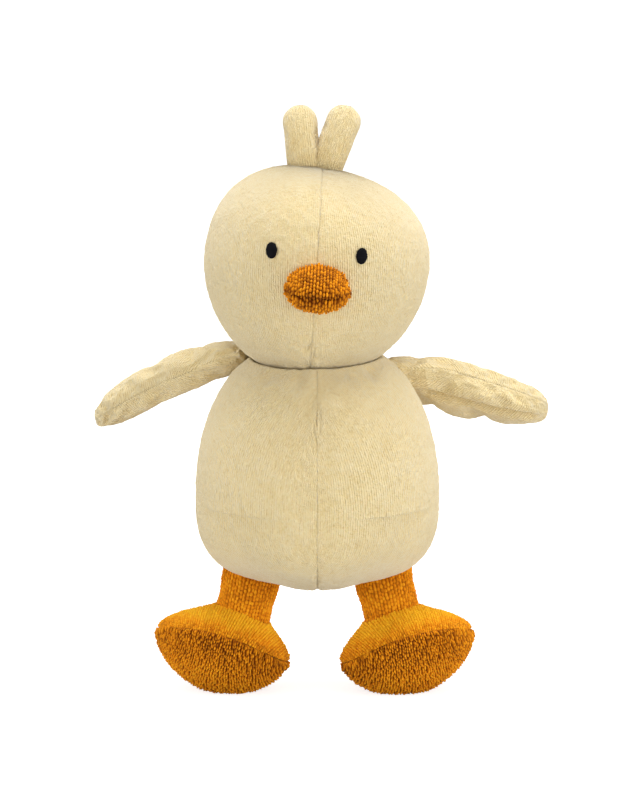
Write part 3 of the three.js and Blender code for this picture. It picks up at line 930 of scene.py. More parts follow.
@dataclass
class Wardrobe:
    """The toy's finishes, each with its material, which all pieces of a finish share."""

    velour: Velour = Velour()
    terry: Terry = Terry()
    # shorter loops, with less painted shade between them and less painted light on their tops
    leg_terry: Terry = Terry(height=0.6 * MM, between=0.25, crown=0.64)
    # a lit copy of the terry with shorter loops: painted light for the instep's top, which faces the light
    instep_terry: Terry = Terry(
        name="instep_terry",
        height=0.7 * MM,
        between=0.75,
        crown=1.0,
        body=(0.84, 0.30, 0.006),
        light=(1.0, 0.55, 0.020),
    )
    stitch: SatinStitch = SatinStitch()
    fibre: Fibre = Fibre()
    thread: SeamThread = SeamThread()
    floor_gap: float = 0.3 * MM
    materials: dict[str, bpy.types.Material] = field(default_factory=dict)

    def dress(self, piece: Piece, finish: Finish, node: str) -> Piece:
        """Gives a piece its finish's material, hides the CAD node that it stands for, and reports it.

        Args:
            piece: the bare piece.
            finish: its fabric, filling or thread.
            node: the CAD node that it stands for.

        Returns:
            The same piece.
        """
        if finish.name not in self.materials:
            self.materials[finish.name] = finish.material()
        piece.data.materials.append(self.materials[finish.name])
        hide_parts(node)
        LOG.info("%s: %d faces", piece.name, len(piece.data.polygons))
        return piece

    def sew(
        self,
        name: str,
        panel: Panel,
        finish: Cover,
        node: str,
        stuffing: Stuffing | None = None,
        held: Grid | None = None,
        floor: float | None = None,
    ) -> Piece:
        """Makes a panel's piece: stuffs it, roughens its outside, and closes it with a back and a rim.

        Args:
            name: the piece's name.
            panel: the panel as it is cut, facing outwards.
            finish: its fabric.
            node: the CAD node that it stands for.
            stuffing: how tightly it is stuffed, if it is.
            held: True where it is sewn down besides its edge.
            floor: a height that no point goes under, if it stands on the floor.

        Returns:
            The dressed piece.
        """
        seed = sum(ord(letter) * (place + 1) for place, letter in enumerate(name))
        if stuffing is not None:
            fixed = np.zeros(panel.points.shape[:2], dtype=bool)
            fixed[[0, -1]] = True
            if not panel.closed:
                fixed[:, [0, -1]] = True
            if held is not None:
                fixed |= held
            panel = replace(panel, points=panel.points + stuffing.swelled(panel, fixed, seed))
        depth = np.broadcast_to(panel.depth, panel.points.shape[:2])[..., None] * finish.thickness
        behind = panel.coarse(panel.points - panel.normals() * depth)
        outside, tone = finish.roughened(panel, seed)
        if panel.closed:
            outside[:, -1] = outside[:, 0]
        else:
            outside[:, [0, -1]] = panel.points[:, [0, -1]]
        outside[[0, -1]] = panel.points[[0, -1]]
        if floor is not None:
            outside[..., 2] = np.maximum(outside[..., 2], floor)
            behind[..., 2] = np.maximum(behind[..., 2], floor + self.floor_gap)
        width = -1 if panel.closed else None
        points = np.concatenate([layer[:, :width].reshape(-1, 3) for layer in (outside, behind)])
        tones = np.concatenate([layer[:, :width].ravel() for layer in (tone, panel.coarse(tone))])
        weave = np.concatenate([layer.reshape(-1, 2) for layer in (panel.weave, panel.coarse(panel.weave))])
        piece = new_mesh(name, points, *panel.shell(panel.closed))
        corners = np.concatenate([faces.ravel() for faces in panel.shell(False)])
        fabric = piece.data.uv_layers.new(name="weave").data
        fabric.foreach_set("uv", weave[corners].astype(np.float32).ravel())
        tint(piece, tones)
        return self.dress(piece, finish, node)

    def pack(self, name: str, rings: Grid, node: str) -> Piece:
        """Makes a filling from rings of points, pole to pole.

        The points are moved by a drift of a lump's pitch, and each end is closed by a fan about its ring's
        middle.

        Args:
            name: the piece's name.
            rings: rows x columns x 3, without a repeated column.
            node: the CAD node that it stands for.

        Returns:
            The dressed piece.
        """
        middle = rings.reshape(-1, 3).mean(axis=0)
        lumps = self.fibre.height * drift(rings, self.fibre.lump, self.fibre.seed)
        rings = rings + unit(rings - middle) * lumps[..., None]
        rows, columns = rings.shape[:2]
        index = numbered(rows, columns + 1, 0, True)
        ends = np.stack((rings[0].mean(axis=0), rings[-1].mean(axis=0)))
        points = np.concatenate((rings.reshape(-1, 3), ends))
        quads = quad_faces(index)
        first = np.stack((index[0, :-1], index[0, 1:], np.full(columns, rows * columns)), axis=-1)
        last = np.stack((index[-1, 1:], index[-1, :-1], np.full(columns, rows * columns + 1)), axis=-1)
        triangles = np.concatenate((first, last))
        edges = points[quads]
        outward = np.cross(edges[:, 1] - edges[:, 0], edges[:, 3] - edges[:, 0])
        if np.sum(outward * (edges.mean(axis=1) - middle)) < 0.0:
            quads, triangles = quads[:, ::-1], triangles[:, ::-1]
        return self.dress(new_mesh(name, points, quads, triangles), self.fibre, node)


@dataclass(frozen=True)
class Egg:
    """A stuffed egg about a middle.

    Its surface is where (level distance / half width)^n + (height / reach)^n = 1, with the level distance
    taken on an ellipse, and a reach and a fullness n of its own over and under the widest line.
    """

    half_width: float
    half_depth: float
    upper: float
    lower: float
    upper_fullness: float
    lower_fullness: float
    lean: float = 0.0
    middle: Grid = field(default_factory=lambda: np.zeros(3))

    def distance(self, directions: Grid) -> Grid:
        """How far the surface is from the middle in each direction.

        Args:
            directions: vectors of length one.

        Returns:
            One distance each, from the surface's equation solved along the direction.
        """
        own = directions @ turn_about("y", self.lean)
        level = np.hypot(own[..., 0] / self.half_width, own[..., 1] / self.half_depth)
        above = own[..., 2] >= 0.0
        reach = np.where(above, self.upper, self.lower)
        fullness = np.where(above, self.upper_fullness, self.lower_fullness)
        return (level**fullness + (np.abs(own[..., 2]) / reach) ** fullness) ** (-1.0 / fullness)

    def fraction(self, points: Grid, clear: float = 0.0) -> Grid:
        """A point's distance from the middle as a share of the way to the surface grown by a clearance."""
        away = points - self.middle
        return np.linalg.norm(away, axis=-1) / (self.distance(unit(away)) + clear)

    def below(self, points: Grid, way: Grid, span: float) -> Grid:
        """The last place outside the egg on straight lines that run into it.

        Args:
            points: where the lines start, outside the egg.
            way: their common direction, or one for each line.
            span: their length.

        Returns:
            The places on the surface.
        """
        shape = points.shape[:-1]
        found = closed_in(lambda far: self.fraction(points + way * far[..., None]) > 1.0, shape, span, 30)
        return points + way * found[0][..., None]

    def normal_at(self, point: Grid) -> Grid:
        """The outward direction at a point of the surface, from the fraction's slope."""
        steps = np.eye(3) * 0.01 * MM
        return unit(self.fraction(point + steps) - self.fraction(point - steps))

    def inset(self, by: float) -> "Egg":
        """The egg with all its reaches shortened."""
        names = ("half_width", "half_depth", "upper", "lower")
        return replace(self, **{name: getattr(self, name) - by for name in names})

    def rings(self, rows: int = 24, columns: int = 40, pole: float = 0.06) -> Grid:
        """Rings of points from the top to the bottom, for a filling.

        Args:
            rows: the rings.
            columns: the points on each.
            pole: how far from straight up the first ring is, as an angle.

        Returns:
            rows x columns x 3.
        """
        tip = np.linspace(pole, math.pi - pole, rows)[:, None]
        turn = way_round(columns)[None, :]
        level = np.sin(tip)
        ways = np.stack(np.broadcast_arrays(level * np.cos(turn), level * np.sin(turn), np.cos(tip)), axis=-1)
        return self.middle + ways * self.distance(ways)[..., None]


@dataclass(frozen=True)
class Swept:
    """An egg in each of the places that its joints can turn it to."""

    egg: Egg
    pivot: Grid
    turns: tuple[Grid, ...]

    def fraction(self, points: Grid, clear: float = 0.0) -> Grid:
        """The least of the egg's fractions at the points turned back by each turn."""
        away = points - self.pivot
        return np.min([self.egg.fraction(self.pivot + away @ turn, clear) for turn in self.turns], axis=0)

    def drawn_back(self, points: Grid, middle: Grid, clear: float) -> Grid:
        """Points drawn back along their lines from a middle until they are clear of the egg everywhere.

        Args:
            points: the places.
            middle: a place outside the egg.
            clear: the clearance.

        Returns:
            The points.
        """
        inside = self.fraction(points, clear) < 1.0
        line = points[inside] - middle
        count = line.shape[:1]
        found = closed_in(lambda far: self.fraction(middle + line * far[:, None], clear) > 1.0, count, 1.0)
        drawn = np.array(points)
        drawn[inside] = middle + line * found[0][:, None]
        return drawn

    def pushed_out(self, points: Grid, ways: Grid, span: float, clear: float) -> Grid:
        """The first places on straight lines out of the egg that are clear of it in all its places.

        Args:
            points: where the lines start.
            ways: their directions.
            span: their length.
            clear: the clearance.

        Returns:
            The places.
        """
        found = closed_in(
            lambda far: self.fraction(points + ways * far[..., None], clear) <= 1.0, points.shape[:-1], span
        )
        return points + ways * found[1][..., None]


@dataclass(frozen=True)
class CentreSeam:
    """The seam down the middle of the body and the head, which draws the velour in.

    Attributes:
        depth: how far the seam lies under the form before it is stuffed, or over it where it is negative.
        shortening: X is shortened to this share for them, so that they run across the seam.
    """

    depth: float
    width: float
    pucker: float = 0.5 * MM
    pitch: float = 6.0 * MM
    shortening: float = 0.15
    seed: int = 11

    def drawn(self, points: Grid, away: Grid) -> Grid:
        """How far the seam draws each point in.

        Args:
            points: the places on the form.
            away: their distances from the seam.

        Returns:
            depth * exp(-(away / width)^2), and puckers that rise beside the seam and fade out over twice that
            width.
        """
        near = bell(away, self.width)
        ripple = drift(points * np.array((self.shortening, 1.0, 1.0)), self.pitch, self.seed)
        return self.depth * near + self.pucker * ripple * (np.exp(-away / (2.0 * self.width)) * (1.0 - near))


def half_egg(egg: Egg, side: Side, tilt: float, seam: CentreSeam, count: int) -> tuple[Grid, Grid]:
    """One side of an egg that is sewn along its middle plane.

    The grid's square is laid on a disc. A point's angle from straight sideways is 90 degrees times its
    distance from the disc's middle, and its bearing there is the way round, backward and up.

    Args:
        egg: the form.
        side: which half.
        tilt: the seam plane's tilt about Y, in degrees.
        seam: how the seam draws the fabric in.
        count: points along each way of the grid.

    Returns:
        The grid of points, and its directions from the egg's middle.
    """
    back, up = rounded(*square(count, count))
    out = np.minimum(np.hypot(back, up), 1.0)
    angle = out * math.pi / 2.0
    spread = np.where(out > TINY, np.sin(angle) / np.maximum(out, TINY), math.pi / 2.0)
    ways = np.stack((side.value * np.cos(angle), spread * back, spread * up), axis=-1)
    ways = unit(ways) @ turn_about("y", tilt).T
    reach = egg.distance(ways)
    away = (1.0 - out) * math.pi / 2.0 * reach
    points = egg.middle + ways * reach[..., None]
    return points - ways * seam.drawn(points, away)[..., None], ways


def upright_weave(level: Grid, ways: Grid, side: Side, girth: Grid | float) -> Grid:
    """Fabric coordinates of one side of an egg, with the ribs upright.

    Across is girth * the bearing from straight sideways, and along is the distance * the angle over the
    level.

    Args:
        level: the places from the egg's middle.
        ways: their directions before the seam drew them in.
        side: which half.
        girth: the radius that the bearing is measured on.

    Returns:
        rows x columns x 2.
    """
    across = girth * np.arctan2(level[..., 1], side.value * level[..., 0])
    along = np.linalg.norm(level, axis=-1) * np.arcsin(np.clip(ways[..., 2], -1.0, 1.0))
    return np.stack((across, along), axis=-1)


@dataclass
class Body:
    """The stuffed body: two velour sides sewn along the front and back, dished at the top for the head."""

    form: Egg = Egg(
        half_width=47.7 * MM,
        half_depth=43.0 * MM,
        upper=65.4 * MM,
        lower=33.8 * MM,
        upper_fullness=2.18,
        lower_fullness=2.9,
    )
    neck_gap: float = 1.3 * MM
    neck_held: float = 1.5 * MM
    tuck_aside: float = 24.8 * MM
    tuck_ahead: float = 22.7 * MM
    tuck_depth: float = 3.0 * MM
    tuck_spread: float = 12.0 * MM
    inset: float = 3.2 * MM
    count: int = 257
    step: int = 8
    seam: CentreSeam = CentreSeam(depth=-0.5 * MM, width=4.0 * MM)
    stuffing: Stuffing = Stuffing(cap=1.2 * MM)

    def egg(self) -> Egg:
        """The body's form, on the head's pivot line and standing where the CAD body does."""
        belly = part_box("body_panel_left")[0].z + self.form.lower
        return replace(self.form, middle=np.array((*joint("head_turn")[0][:2], belly)))

    def tucked(self, away: Grid, side: Side) -> Grid:
        """How far the underside is drawn in over a leg, which leaves room for the toe of the folded foot.

        Args:
            away: the places from the body's middle.
            side: which leg.

        Returns:
            Depth * exp(-(level distance from the tuck / spread)^2) under the middle, and nothing over it.
        """
        across = away[..., 0] - side.value * self.tuck_aside
        ahead = away[..., 1] + self.tuck_ahead
        near = np.exp(-(across**2 + ahead**2) / self.tuck_spread**2)
        return self.tuck_depth * near * (away[..., 2] < 0.0)

    def build(self, head: Swept, wardrobe: Wardrobe) -> list[Piece]:
        """Builds and dresses the two sides and the filling.

        Args:
            head: the head's form in all its places, which the top is dished for.
            wardrobe: the finishes.

        Returns:
            The three pieces.
        """
        egg = self.egg()
        pieces = []
        for side in Side:
            points, ways = half_egg(egg, side, 0.0, self.seam, self.count)
            points = points - ways * self.tucked(points - egg.middle, side)[..., None]
            points = head.drawn_back(points, egg.middle, self.neck_gap)
            level = points - egg.middle
            weave = upright_weave(level, ways, side, np.hypot(level[..., 0], level[..., 1]))
            panel = Panel(points, weave, self.step).facing_out(egg.middle)
            held = head.fraction(panel.points, self.neck_gap + self.neck_held) < 1.0
            name, node = f"body_cover_{side.own}", f"body_panel_{side.own}"
            pieces.append(wardrobe.sew(name, panel, wardrobe.velour, node, self.stuffing, held))
        rings = head.drawn_back(egg.inset(self.inset).rings(), egg.middle, self.neck_gap + self.inset)
        pieces.append(wardrobe.pack("body_stuffing", rings, "body_filling"))
        for piece in pieces:
            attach(piece, "torso")
        return pieces


@dataclass
class Head:
    """The stuffed head: two velour sides with a centre seam, and two embroidered eyes.

    Attributes:
        eye_clear: how much of the cover under an eye lies behind its rim, in percent.
    """

    form: Egg = Egg(
        half_width=43.4 * MM,
        half_depth=42.6 * MM,
        upper=36.4 * MM,
        lower=45.2 * MM,
        upper_fullness=2.4,
        lower_fullness=1.92,
        lean=13.0,
    )
    rise: float = 2.0 * MM
    aside: float = -0.4 * MM
    tilt: float = 3.5
    inset: float = 3.2 * MM
    count: int = 257
    step: int = 8
    eye_half_width: float = 2.1 * MM
    eye_half_height: float = 3.1 * MM
    eye_aside: float = -0.9 * MM
    eye_inward: float = 0.4 * MM
    eye_drop: float = 0.3 * MM
    eye_proud: float = 0.9 * MM
    eye_ragged: float = 0.05
    eye_clear: float = 75.0
    eye_count: int = 57
    eye_step: int = 4
    seam: CentreSeam = CentreSeam(depth=-0.6 * MM, width=3.0 * MM, pucker=0.2 * MM)
    stuffing: Stuffing = Stuffing(cap=1.2 * MM)

    def egg(self) -> Egg:
        """The head's form over its pivot."""
        pivot, _ = joint("head_turn")
        return replace(self.form, middle=pivot + np.array((self.aside, 0.0, self.rise)))

    def swept(self) -> Swept:
        """The head's form at rest and at the limits of its joints.

        Returns:
            The egg with the matrices of its turns.
        """
        pivot, axis = joint("head_nod")
        sign = math.copysign(1.0, axis[0])
        turns, nods = stops("head_turn"), stops("head_nod")
        matrices = [turn_about("z", turn) @ turn_about("x", sign * nod) for turn in turns for nod in nods]
        return Swept(self.egg(), pivot, tuple(matrices))

    def build(self, wardrobe: Wardrobe) -> list[Piece]:
        """Builds and dresses the two sides, the filling and the eyes.

        Args:
            wardrobe: the finishes.

        Returns:
            The five pieces.
        """
        egg = self.egg()
        pieces = []
        for side in Side:
            points, ways = half_egg(egg, side, self.tilt, self.seam, self.count)
            weave = upright_weave(points - egg.middle, ways, side, egg.half_depth)
            panel = Panel(points, weave, self.step).facing_out(egg.middle)
            name = f"head_cover_{side.own}"
            cover = wardrobe.sew(name, panel, wardrobe.velour, f"head_panel_{side.own}", self.stuffing)
            pieces += [cover, self.eye(egg, side, cover, wardrobe)]
        pieces.append(wardrobe.pack("head_stuffing", egg.inset(self.inset).rings(), "head_filling"))
        for piece in pieces:
            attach(piece, "head")
        return pieces

    def eye(self, egg: Egg, side: Side, cover: Piece, wardrobe: Wardrobe) -> Piece:
        """One raised oval of satin stitch, within a millimetre or so of the CAD eye's middle.

        A disc is stretched to the oval, with a rim made ragged by a chance for each stitch. It is put on
        the face straight from the front, and raised by proud * (1 - reach^4)^(1/2) over the stuffed cover.

        Args:
            egg: the head's form.
            side: which eye.
            cover: the stuffed side of the head.
            wardrobe: the finishes.

        Returns:
            The eye's piece.
        """
        low, high = (np.array(corner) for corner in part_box(f"eye_{side.own}"))
        shift = np.array((self.eye_aside - side.value * self.eye_inward, 0.0, -self.eye_drop))
        centre = (low + high) / 2.0 + shift
        centre[1] = egg.middle[1] - 2.0 * egg.half_depth
        across, along = square(self.eye_count, self.eye_count, 0.6)
        wide, tall = rounded(across, along)
        reach = reach_to_edge(across, along)
        stitch = np.floor(tall * self.eye_half_height / wardrobe.stitch.stitch)
        uneven = 2.0 * chance(stitch, np.sign(wide), seed=5 + side.value) - 1.0
        ragged = 1.0 + self.eye_ragged * uneven * reach**3
        weave = np.stack((wide * self.eye_half_width, tall * self.eye_half_height), axis=-1)
        flat = np.stack((weave[..., 0] * ragged, np.zeros_like(wide), weave[..., 1]), axis=-1)
        seat = egg.below(centre + flat @ turn_about("y", self.tilt).T, BACKWARD, 2.0 * egg.half_depth)
        out = egg.normal_at(seat[self.eye_count // 2, self.eye_count // 2])
        dome = self.eye_proud * np.sqrt(np.clip(1.0 - reach**4, 0.0, 1.0))
        points = seat + out * (dome + self.cover_lift(egg, centre, cover))[..., None]
        panel = Panel(points, weave, self.eye_step).facing_out(egg.middle)
        return wardrobe.sew(f"stitched_eye_{side.own}", panel, wardrobe.stitch, f"eye_{side.own}")

    def cover_lift(self, egg: Egg, centre: Grid, cover: Piece) -> float:
        """How far the stuffed cover stands in front of the form at an eye.

        Args:
            egg: the head's form.
            centre: a place straight in front of the eye.
            cover: the stuffed side of the head.

        Returns:
            What the given percentage of the cover's points there stay under.
        """
        places = places_of(cover.data)
        near = np.hypot(*(places - centre)[:, ::2].T) < self.eye_half_height
        places = places[near & (places[:, 1] < egg.middle[1])]
        level = places * np.array((1.0, 0.0, 1.0)) + centre * BACKWARD
        proud = egg.below(level, BACKWARD, 2.0 * egg.half_depth)[:, 1] - places[:, 1]
        return float(np.percentile(proud, self.eye_clear))


@dataclass
class NeckThread:
    """The drawn thread that closes the neck, a two-ply ring deep in the groove under the head."""

    radius: float = 0.45 * MM
    gap: float = 1.4 * MM
    start: float = 30.0 * MM
    span: float = 30.0 * MM
    inward: float = 32.0
    plies: int = 2
    turns: int = 90
    relief: float = 0.2
    count: int = 360
    sides: int = 14

    def build(self, head: Head, wardrobe: Wardrobe) -> list[Piece]:
        """Builds and dresses the ring.

        It is a level circle on a cone from the head's pivot, as near to the head as its turns and nods
        allow. The thread's radius swells by relief * cos(plies * angle - turns * way round).

        Args:
            head: the head.
            wardrobe: the finishes.

        Returns:
            The one piece.
        """
        swept = head.swept()
        down, right, ahead = np.array(((0.0, 0.0, -1.0), (-1.0, 0.0, 0.0), (0.0, 1.0, 0.0)))
        around = way_round(self.count)[:, None, None]
        turn = way_round(self.sides)[None, :, None]
        outward = np.cos(around) * right + np.sin(around) * ahead
        cone = math.radians(self.inward)
        ways = math.cos(cone) * down + math.sin(cone) * outward
        starts = swept.pivot + ways * self.start
        clear = swept.pushed_out(starts, ways, self.span, self.radius + self.gap)
        path = swept.pivot + ways * np.linalg.norm(clear - swept.pivot, axis=-1).max()
        ridge = np.cos(self.plies * turn - self.turns * around)
        swell = self.radius * (1.0 - self.relief + self.relief * ridge)
        points = path + swell * (np.cos(turn) * outward + np.sin(turn) * down)
        index = numbered(self.count, self.sides + 1, 0, True)
        index = np.concatenate((index, index[:1]))
        piece = new_mesh("neck_thread", points.reshape(-1, 3), quad_faces(index))
        # painted light on the plies' ridges and painted shade between them
        tint(piece, 0.5 + 0.5 * ridge)
        wardrobe.dress(piece, wardrobe.thread, "neck_seam_thread")
        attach(piece, "neck")
        return [piece]


@dataclass
class Beak:
    """The terry beak: an upper and a lower half that meet in the mouth seam.

    Attributes:
        corner: the side angle of the mouth's corners, in radians.
        core_corner: the side angle of the filling's ends, likewise.
    """

    half_width: float = 11.8 * MM
    upper: float = 9.3 * MM
    lower: float = 6.9 * MM
    length: float = 13.0 * MM
    root: float = 9.0 * MM
    seam_drop: float = 1.2 * MM
    seam_depth: float = 2.0 * MM
    seam_width: float = 2.2 * MM
    # painted shade in the crease of the mouth seam; dark is the beak's own darker tone all over
    seam_dark: float = 0.5
    dark: float = 0.16
    point: float = 8.0
    back_turn: float = 118.0
    corner: float = 1.53
    columns: int = 161
    rows: int = 113
    step: int = 8
    inset: float = 3.6 * MM
    core_rows: int = 14
    core_columns: int = 28
    core_corner: float = 1.5
    before_face: float = 90.0 * MM
    stuffing: Stuffing = Stuffing(cap=0.8 * MM)

    def nose(self, face: Face, head: Head, turn: Grid, side_angle: Grid, inset: float) -> Grid:
        """Points of the beak.

        Across is half width * sin(side angle). Forward is length * cos(side angle) * cos(turn) and height
        is reach * cos(side angle) * sin(turn), so that the turn leads from the seam in front, over the top
        or the bottom, to the root. The corners bend back round the face.

        Args:
            face: the upper or the lower half.
            head: the head that carries the beak.
            turn: the turn about the line through the mouth's corners.
            side_angle: the angle from the middle towards the corners.
            inset: how far inside the form they are.

        Returns:
            The places in the world.
        """
        high = (self.upper if face is Face.UPPER else self.lower) - inset
        forward = np.where(np.cos(turn) > 0.0, self.length - inset, self.root)
        spread = np.cos(side_angle)
        drawn = self.seam_depth * self.near_seam(turn) if inset == 0.0 else 0.0
        x = (self.half_width - inset) * np.sin(side_angle)
        y = -(forward * np.cos(turn) - drawn) * spread
        z = face.value * high * spread * np.sin(turn)
        own = np.stack(np.broadcast_arrays(x, y, z), axis=-1) @ turn_about("x", self.point).T
        own[..., 1] += own[..., 0] ** 2 / (2.0 * head.form.half_width)
        return self.seat(head) + own @ turn_about("y", head.tilt).T

    def near_seam(self, turn: Grid) -> Grid:
        """A share that is 1 on the mouth seam and falls off to both sides of it."""
        return bell(turn * self.length, self.seam_width)

    def seat(self, head: Head) -> Grid:
        """The place on the face behind the middle of the mouth seam, where the CAD beak's seam is.

        Args:
            head: the head that carries the beak.

        Returns:
            The place.
        """
        seam = (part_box("beak_upper")[0].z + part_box("beak_lower")[1].z) / 2.0
        egg = head.egg()
        middle = (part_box("beak_upper")[0].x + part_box("beak_upper")[1].x) / 2.0
        start = np.array((middle, egg.middle[1] - self.before_face, seam - self.seam_drop))
        return egg.below(start[None], BACKWARD, self.before_face)[0]

    def build(self, head: Head, wardrobe: Wardrobe) -> list[Piece]:
        """Builds and dresses the two halves and the filling.

        Args:
            head: the head that carries the beak.
            wardrobe: the finishes.

        Returns:
            The three pieces.
        """
        across, along = square(self.rows, self.columns)
        inside = self.seat(head)
        pieces = []
        for face in Face:
            turn = (along + 1.0) / 2.0 * math.radians(self.back_turn)
            points = self.nose(face, head, turn, across * self.corner, 0.0)
            # painted shade along the mouth seam, over the beak's own darker tone
            dark = self.dark + self.seam_dark * self.near_seam(turn)
            panel = Panel(points, arc_weave(points), self.step, dark=dark).facing_out(inside)
            own = face.name.lower()
            name = f"beak_{own}_cover"
            pieces.append(wardrobe.sew(name, panel, wardrobe.terry, f"beak_{own}", self.stuffing))
        around = way_round(self.core_columns)[None, :]
        side_angle = np.linspace(-self.core_corner, self.core_corner, self.core_rows)[:, None]
        upper = self.nose(Face.UPPER, head, around, side_angle, self.inset)
        lower = self.nose(Face.LOWER, head, math.tau - around, side_angle, self.inset)
        rings = np.where((around < math.pi)[..., None], upper, lower)
        pieces.append(wardrobe.pack("beak_stuffing", rings, "beak_filling"))
        for piece in pieces:
            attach(piece, "head")
        return pieces


@dataclass(frozen=True)
class Leaf:
    """A flat outline of four edges: a root, a tip, and two long edges from the root to the tip."""

    root: Grid
    tip: Grid
    first: Grid
    second: Grid

    @staticmethod
    def spaced(line: Grid, shares: Grid) -> Grid:
        """The points of a line at shares of its length.

        Args:
            line: rows of two coordinates.
            shares: from 0 to 1.

        Returns:
            Two coordinates for each share.
        """
        lengths = np.linalg.norm(np.diff(line, axis=0), axis=-1)
        place = np.concatenate(([0.0], np.cumsum(lengths)))
        place /= place[-1]
        return np.stack([np.interp(shares, place, line[:, axis]) for axis in (0, 1)], axis=-1)

    def filled(self, across: Grid, along: Grid) -> Grid:
        """The outline filled by a grid.

        The two long edges mixed by the second share, plus the root and the tip mixed by the first, less the
        four corners mixed by both.

        Args:
            across: the grid's first parameter, from -1 at the root to 1 at the tip.
            along: its second, from -1 at the first long edge to 1 at the second.

        Returns:
            The grid's flat points.
        """
        out, over = (across + 1.0) / 2.0, (along + 1.0) / 2.0
        first, second = self.spaced(self.first, out), self.spaced(self.second, out)
        root, tip = self.spaced(self.root, over), self.spaced(self.tip, over)
        u, v = out[..., None], over[..., None]
        long_edges = (1.0 - v) * first + v * second
        short_edges = (1.0 - u) * root + u * tip
        corners = (1.0 - v) * ((1.0 - u) * self.root[0] + u * self.tip[0])
        corners = corners + v * ((1.0 - u) * self.root[-1] + u * self.tip[-1])
        return long_edges + short_edges - corners


@dataclass(frozen=True)
class Cushion:
    """How a flat outline is stuffed.

    Attributes:
        seam_share: how far in from the edge it does, as a share of the way to the middle.
        furthest: the most that a point is drawn in, as a share of its distance from the centre.
    """

    half_thickness: float
    fullness: float
    seam_depth: float
    seam_share: float
    furthest: float = 0.8

    def stuffed(self, flat: Grid, reach: Grid, centre: Grid, inset: float) -> tuple[Grid, Grid]:
        """The outline drawn in, and its rise on one face.

        A point goes in by the inset and seam depth * exp(-((1 - reach) / seam share)^2), and rises by half
        thickness * (1 - reach^fullness)^(1/2).

        Args:
            flat: the outline's points.
            reach: the share of each on the way to the edge.
            centre: where they are drawn to.
            inset: how far inside the form they are.

        Returns:
            The flat points, and their rises.
        """
        away = np.linalg.norm(flat - centre, axis=-1, keepdims=True)
        drawn = (inset + self.seam_depth * bell(1.0 - reach, self.seam_share))[..., None]
        drawn = (flat - centre) / np.maximum(away, TINY) * np.minimum(drawn, self.furthest * away)
        rise = (self.half_thickness - inset) * np.sqrt(np.clip(1.0 - reach**self.fullness, 0.0, 1.0))
        return flat - drawn, rise


def arc(middle: tuple[float, float], radius: float, start: float, end: float) -> Grid:
    """Points of a circle's arc between two angles in degrees."""
    turn = np.radians(np.linspace(start, end, CURVE_POINTS))
    return np.array(middle) + radius * np.stack((np.cos(turn), np.sin(turn)), axis=-1)


def curve(*controls: Grid | tuple[float, float]) -> Grid:
    """A smooth curve from the first control point to the last: their sum with binomial weights.

    Args:
        controls: three or four points.

    Returns:
        The curve's points.
    """
    share = np.linspace(0.0, 1.0, CURVE_POINTS)[:, None]
    degree = len(controls) - 1
    weights = [math.comb(degree, k) * share**k * (1.0 - share) ** (degree - k) for k in range(degree + 1)]
    return sum(weight * np.array(control) for weight, control in zip(weights, controls))


def pillow_rings(pillow: Callable[[Grid, Grid, Face, float], Grid], inset: float) -> Grid:
    """Rings of a filling in a pillow, from the middle of one face to the middle of the other.

    Args:
        pillow: gives the pillow's points from its grid's parameters, a face and an inset.
        inset: how far inside the form the filling is.

    Returns:
        rows x columns x 3.
    """
    rows, columns, pole, most = 13, 32, 0.05, 0.999
    tip = np.linspace(pole, math.pi - pole, rows)[:, None]
    turn = way_round(columns)[None, :]
    reach = np.sin(tip)
    stretch = 1.0 / np.maximum(np.abs(np.cos(turn)), np.abs(np.sin(turn)))
    across, along = reach * np.cos(turn) * stretch, reach * np.sin(turn) * stretch
    across, along = np.clip(across, -most, most), np.clip(along, -most, most)
    upper = pillow(across, along, Face.UPPER, inset)
    lower = pillow(across, along, Face.LOWER, inset)
    return np.where((tip < math.pi / 2.0)[..., None], upper, lower)


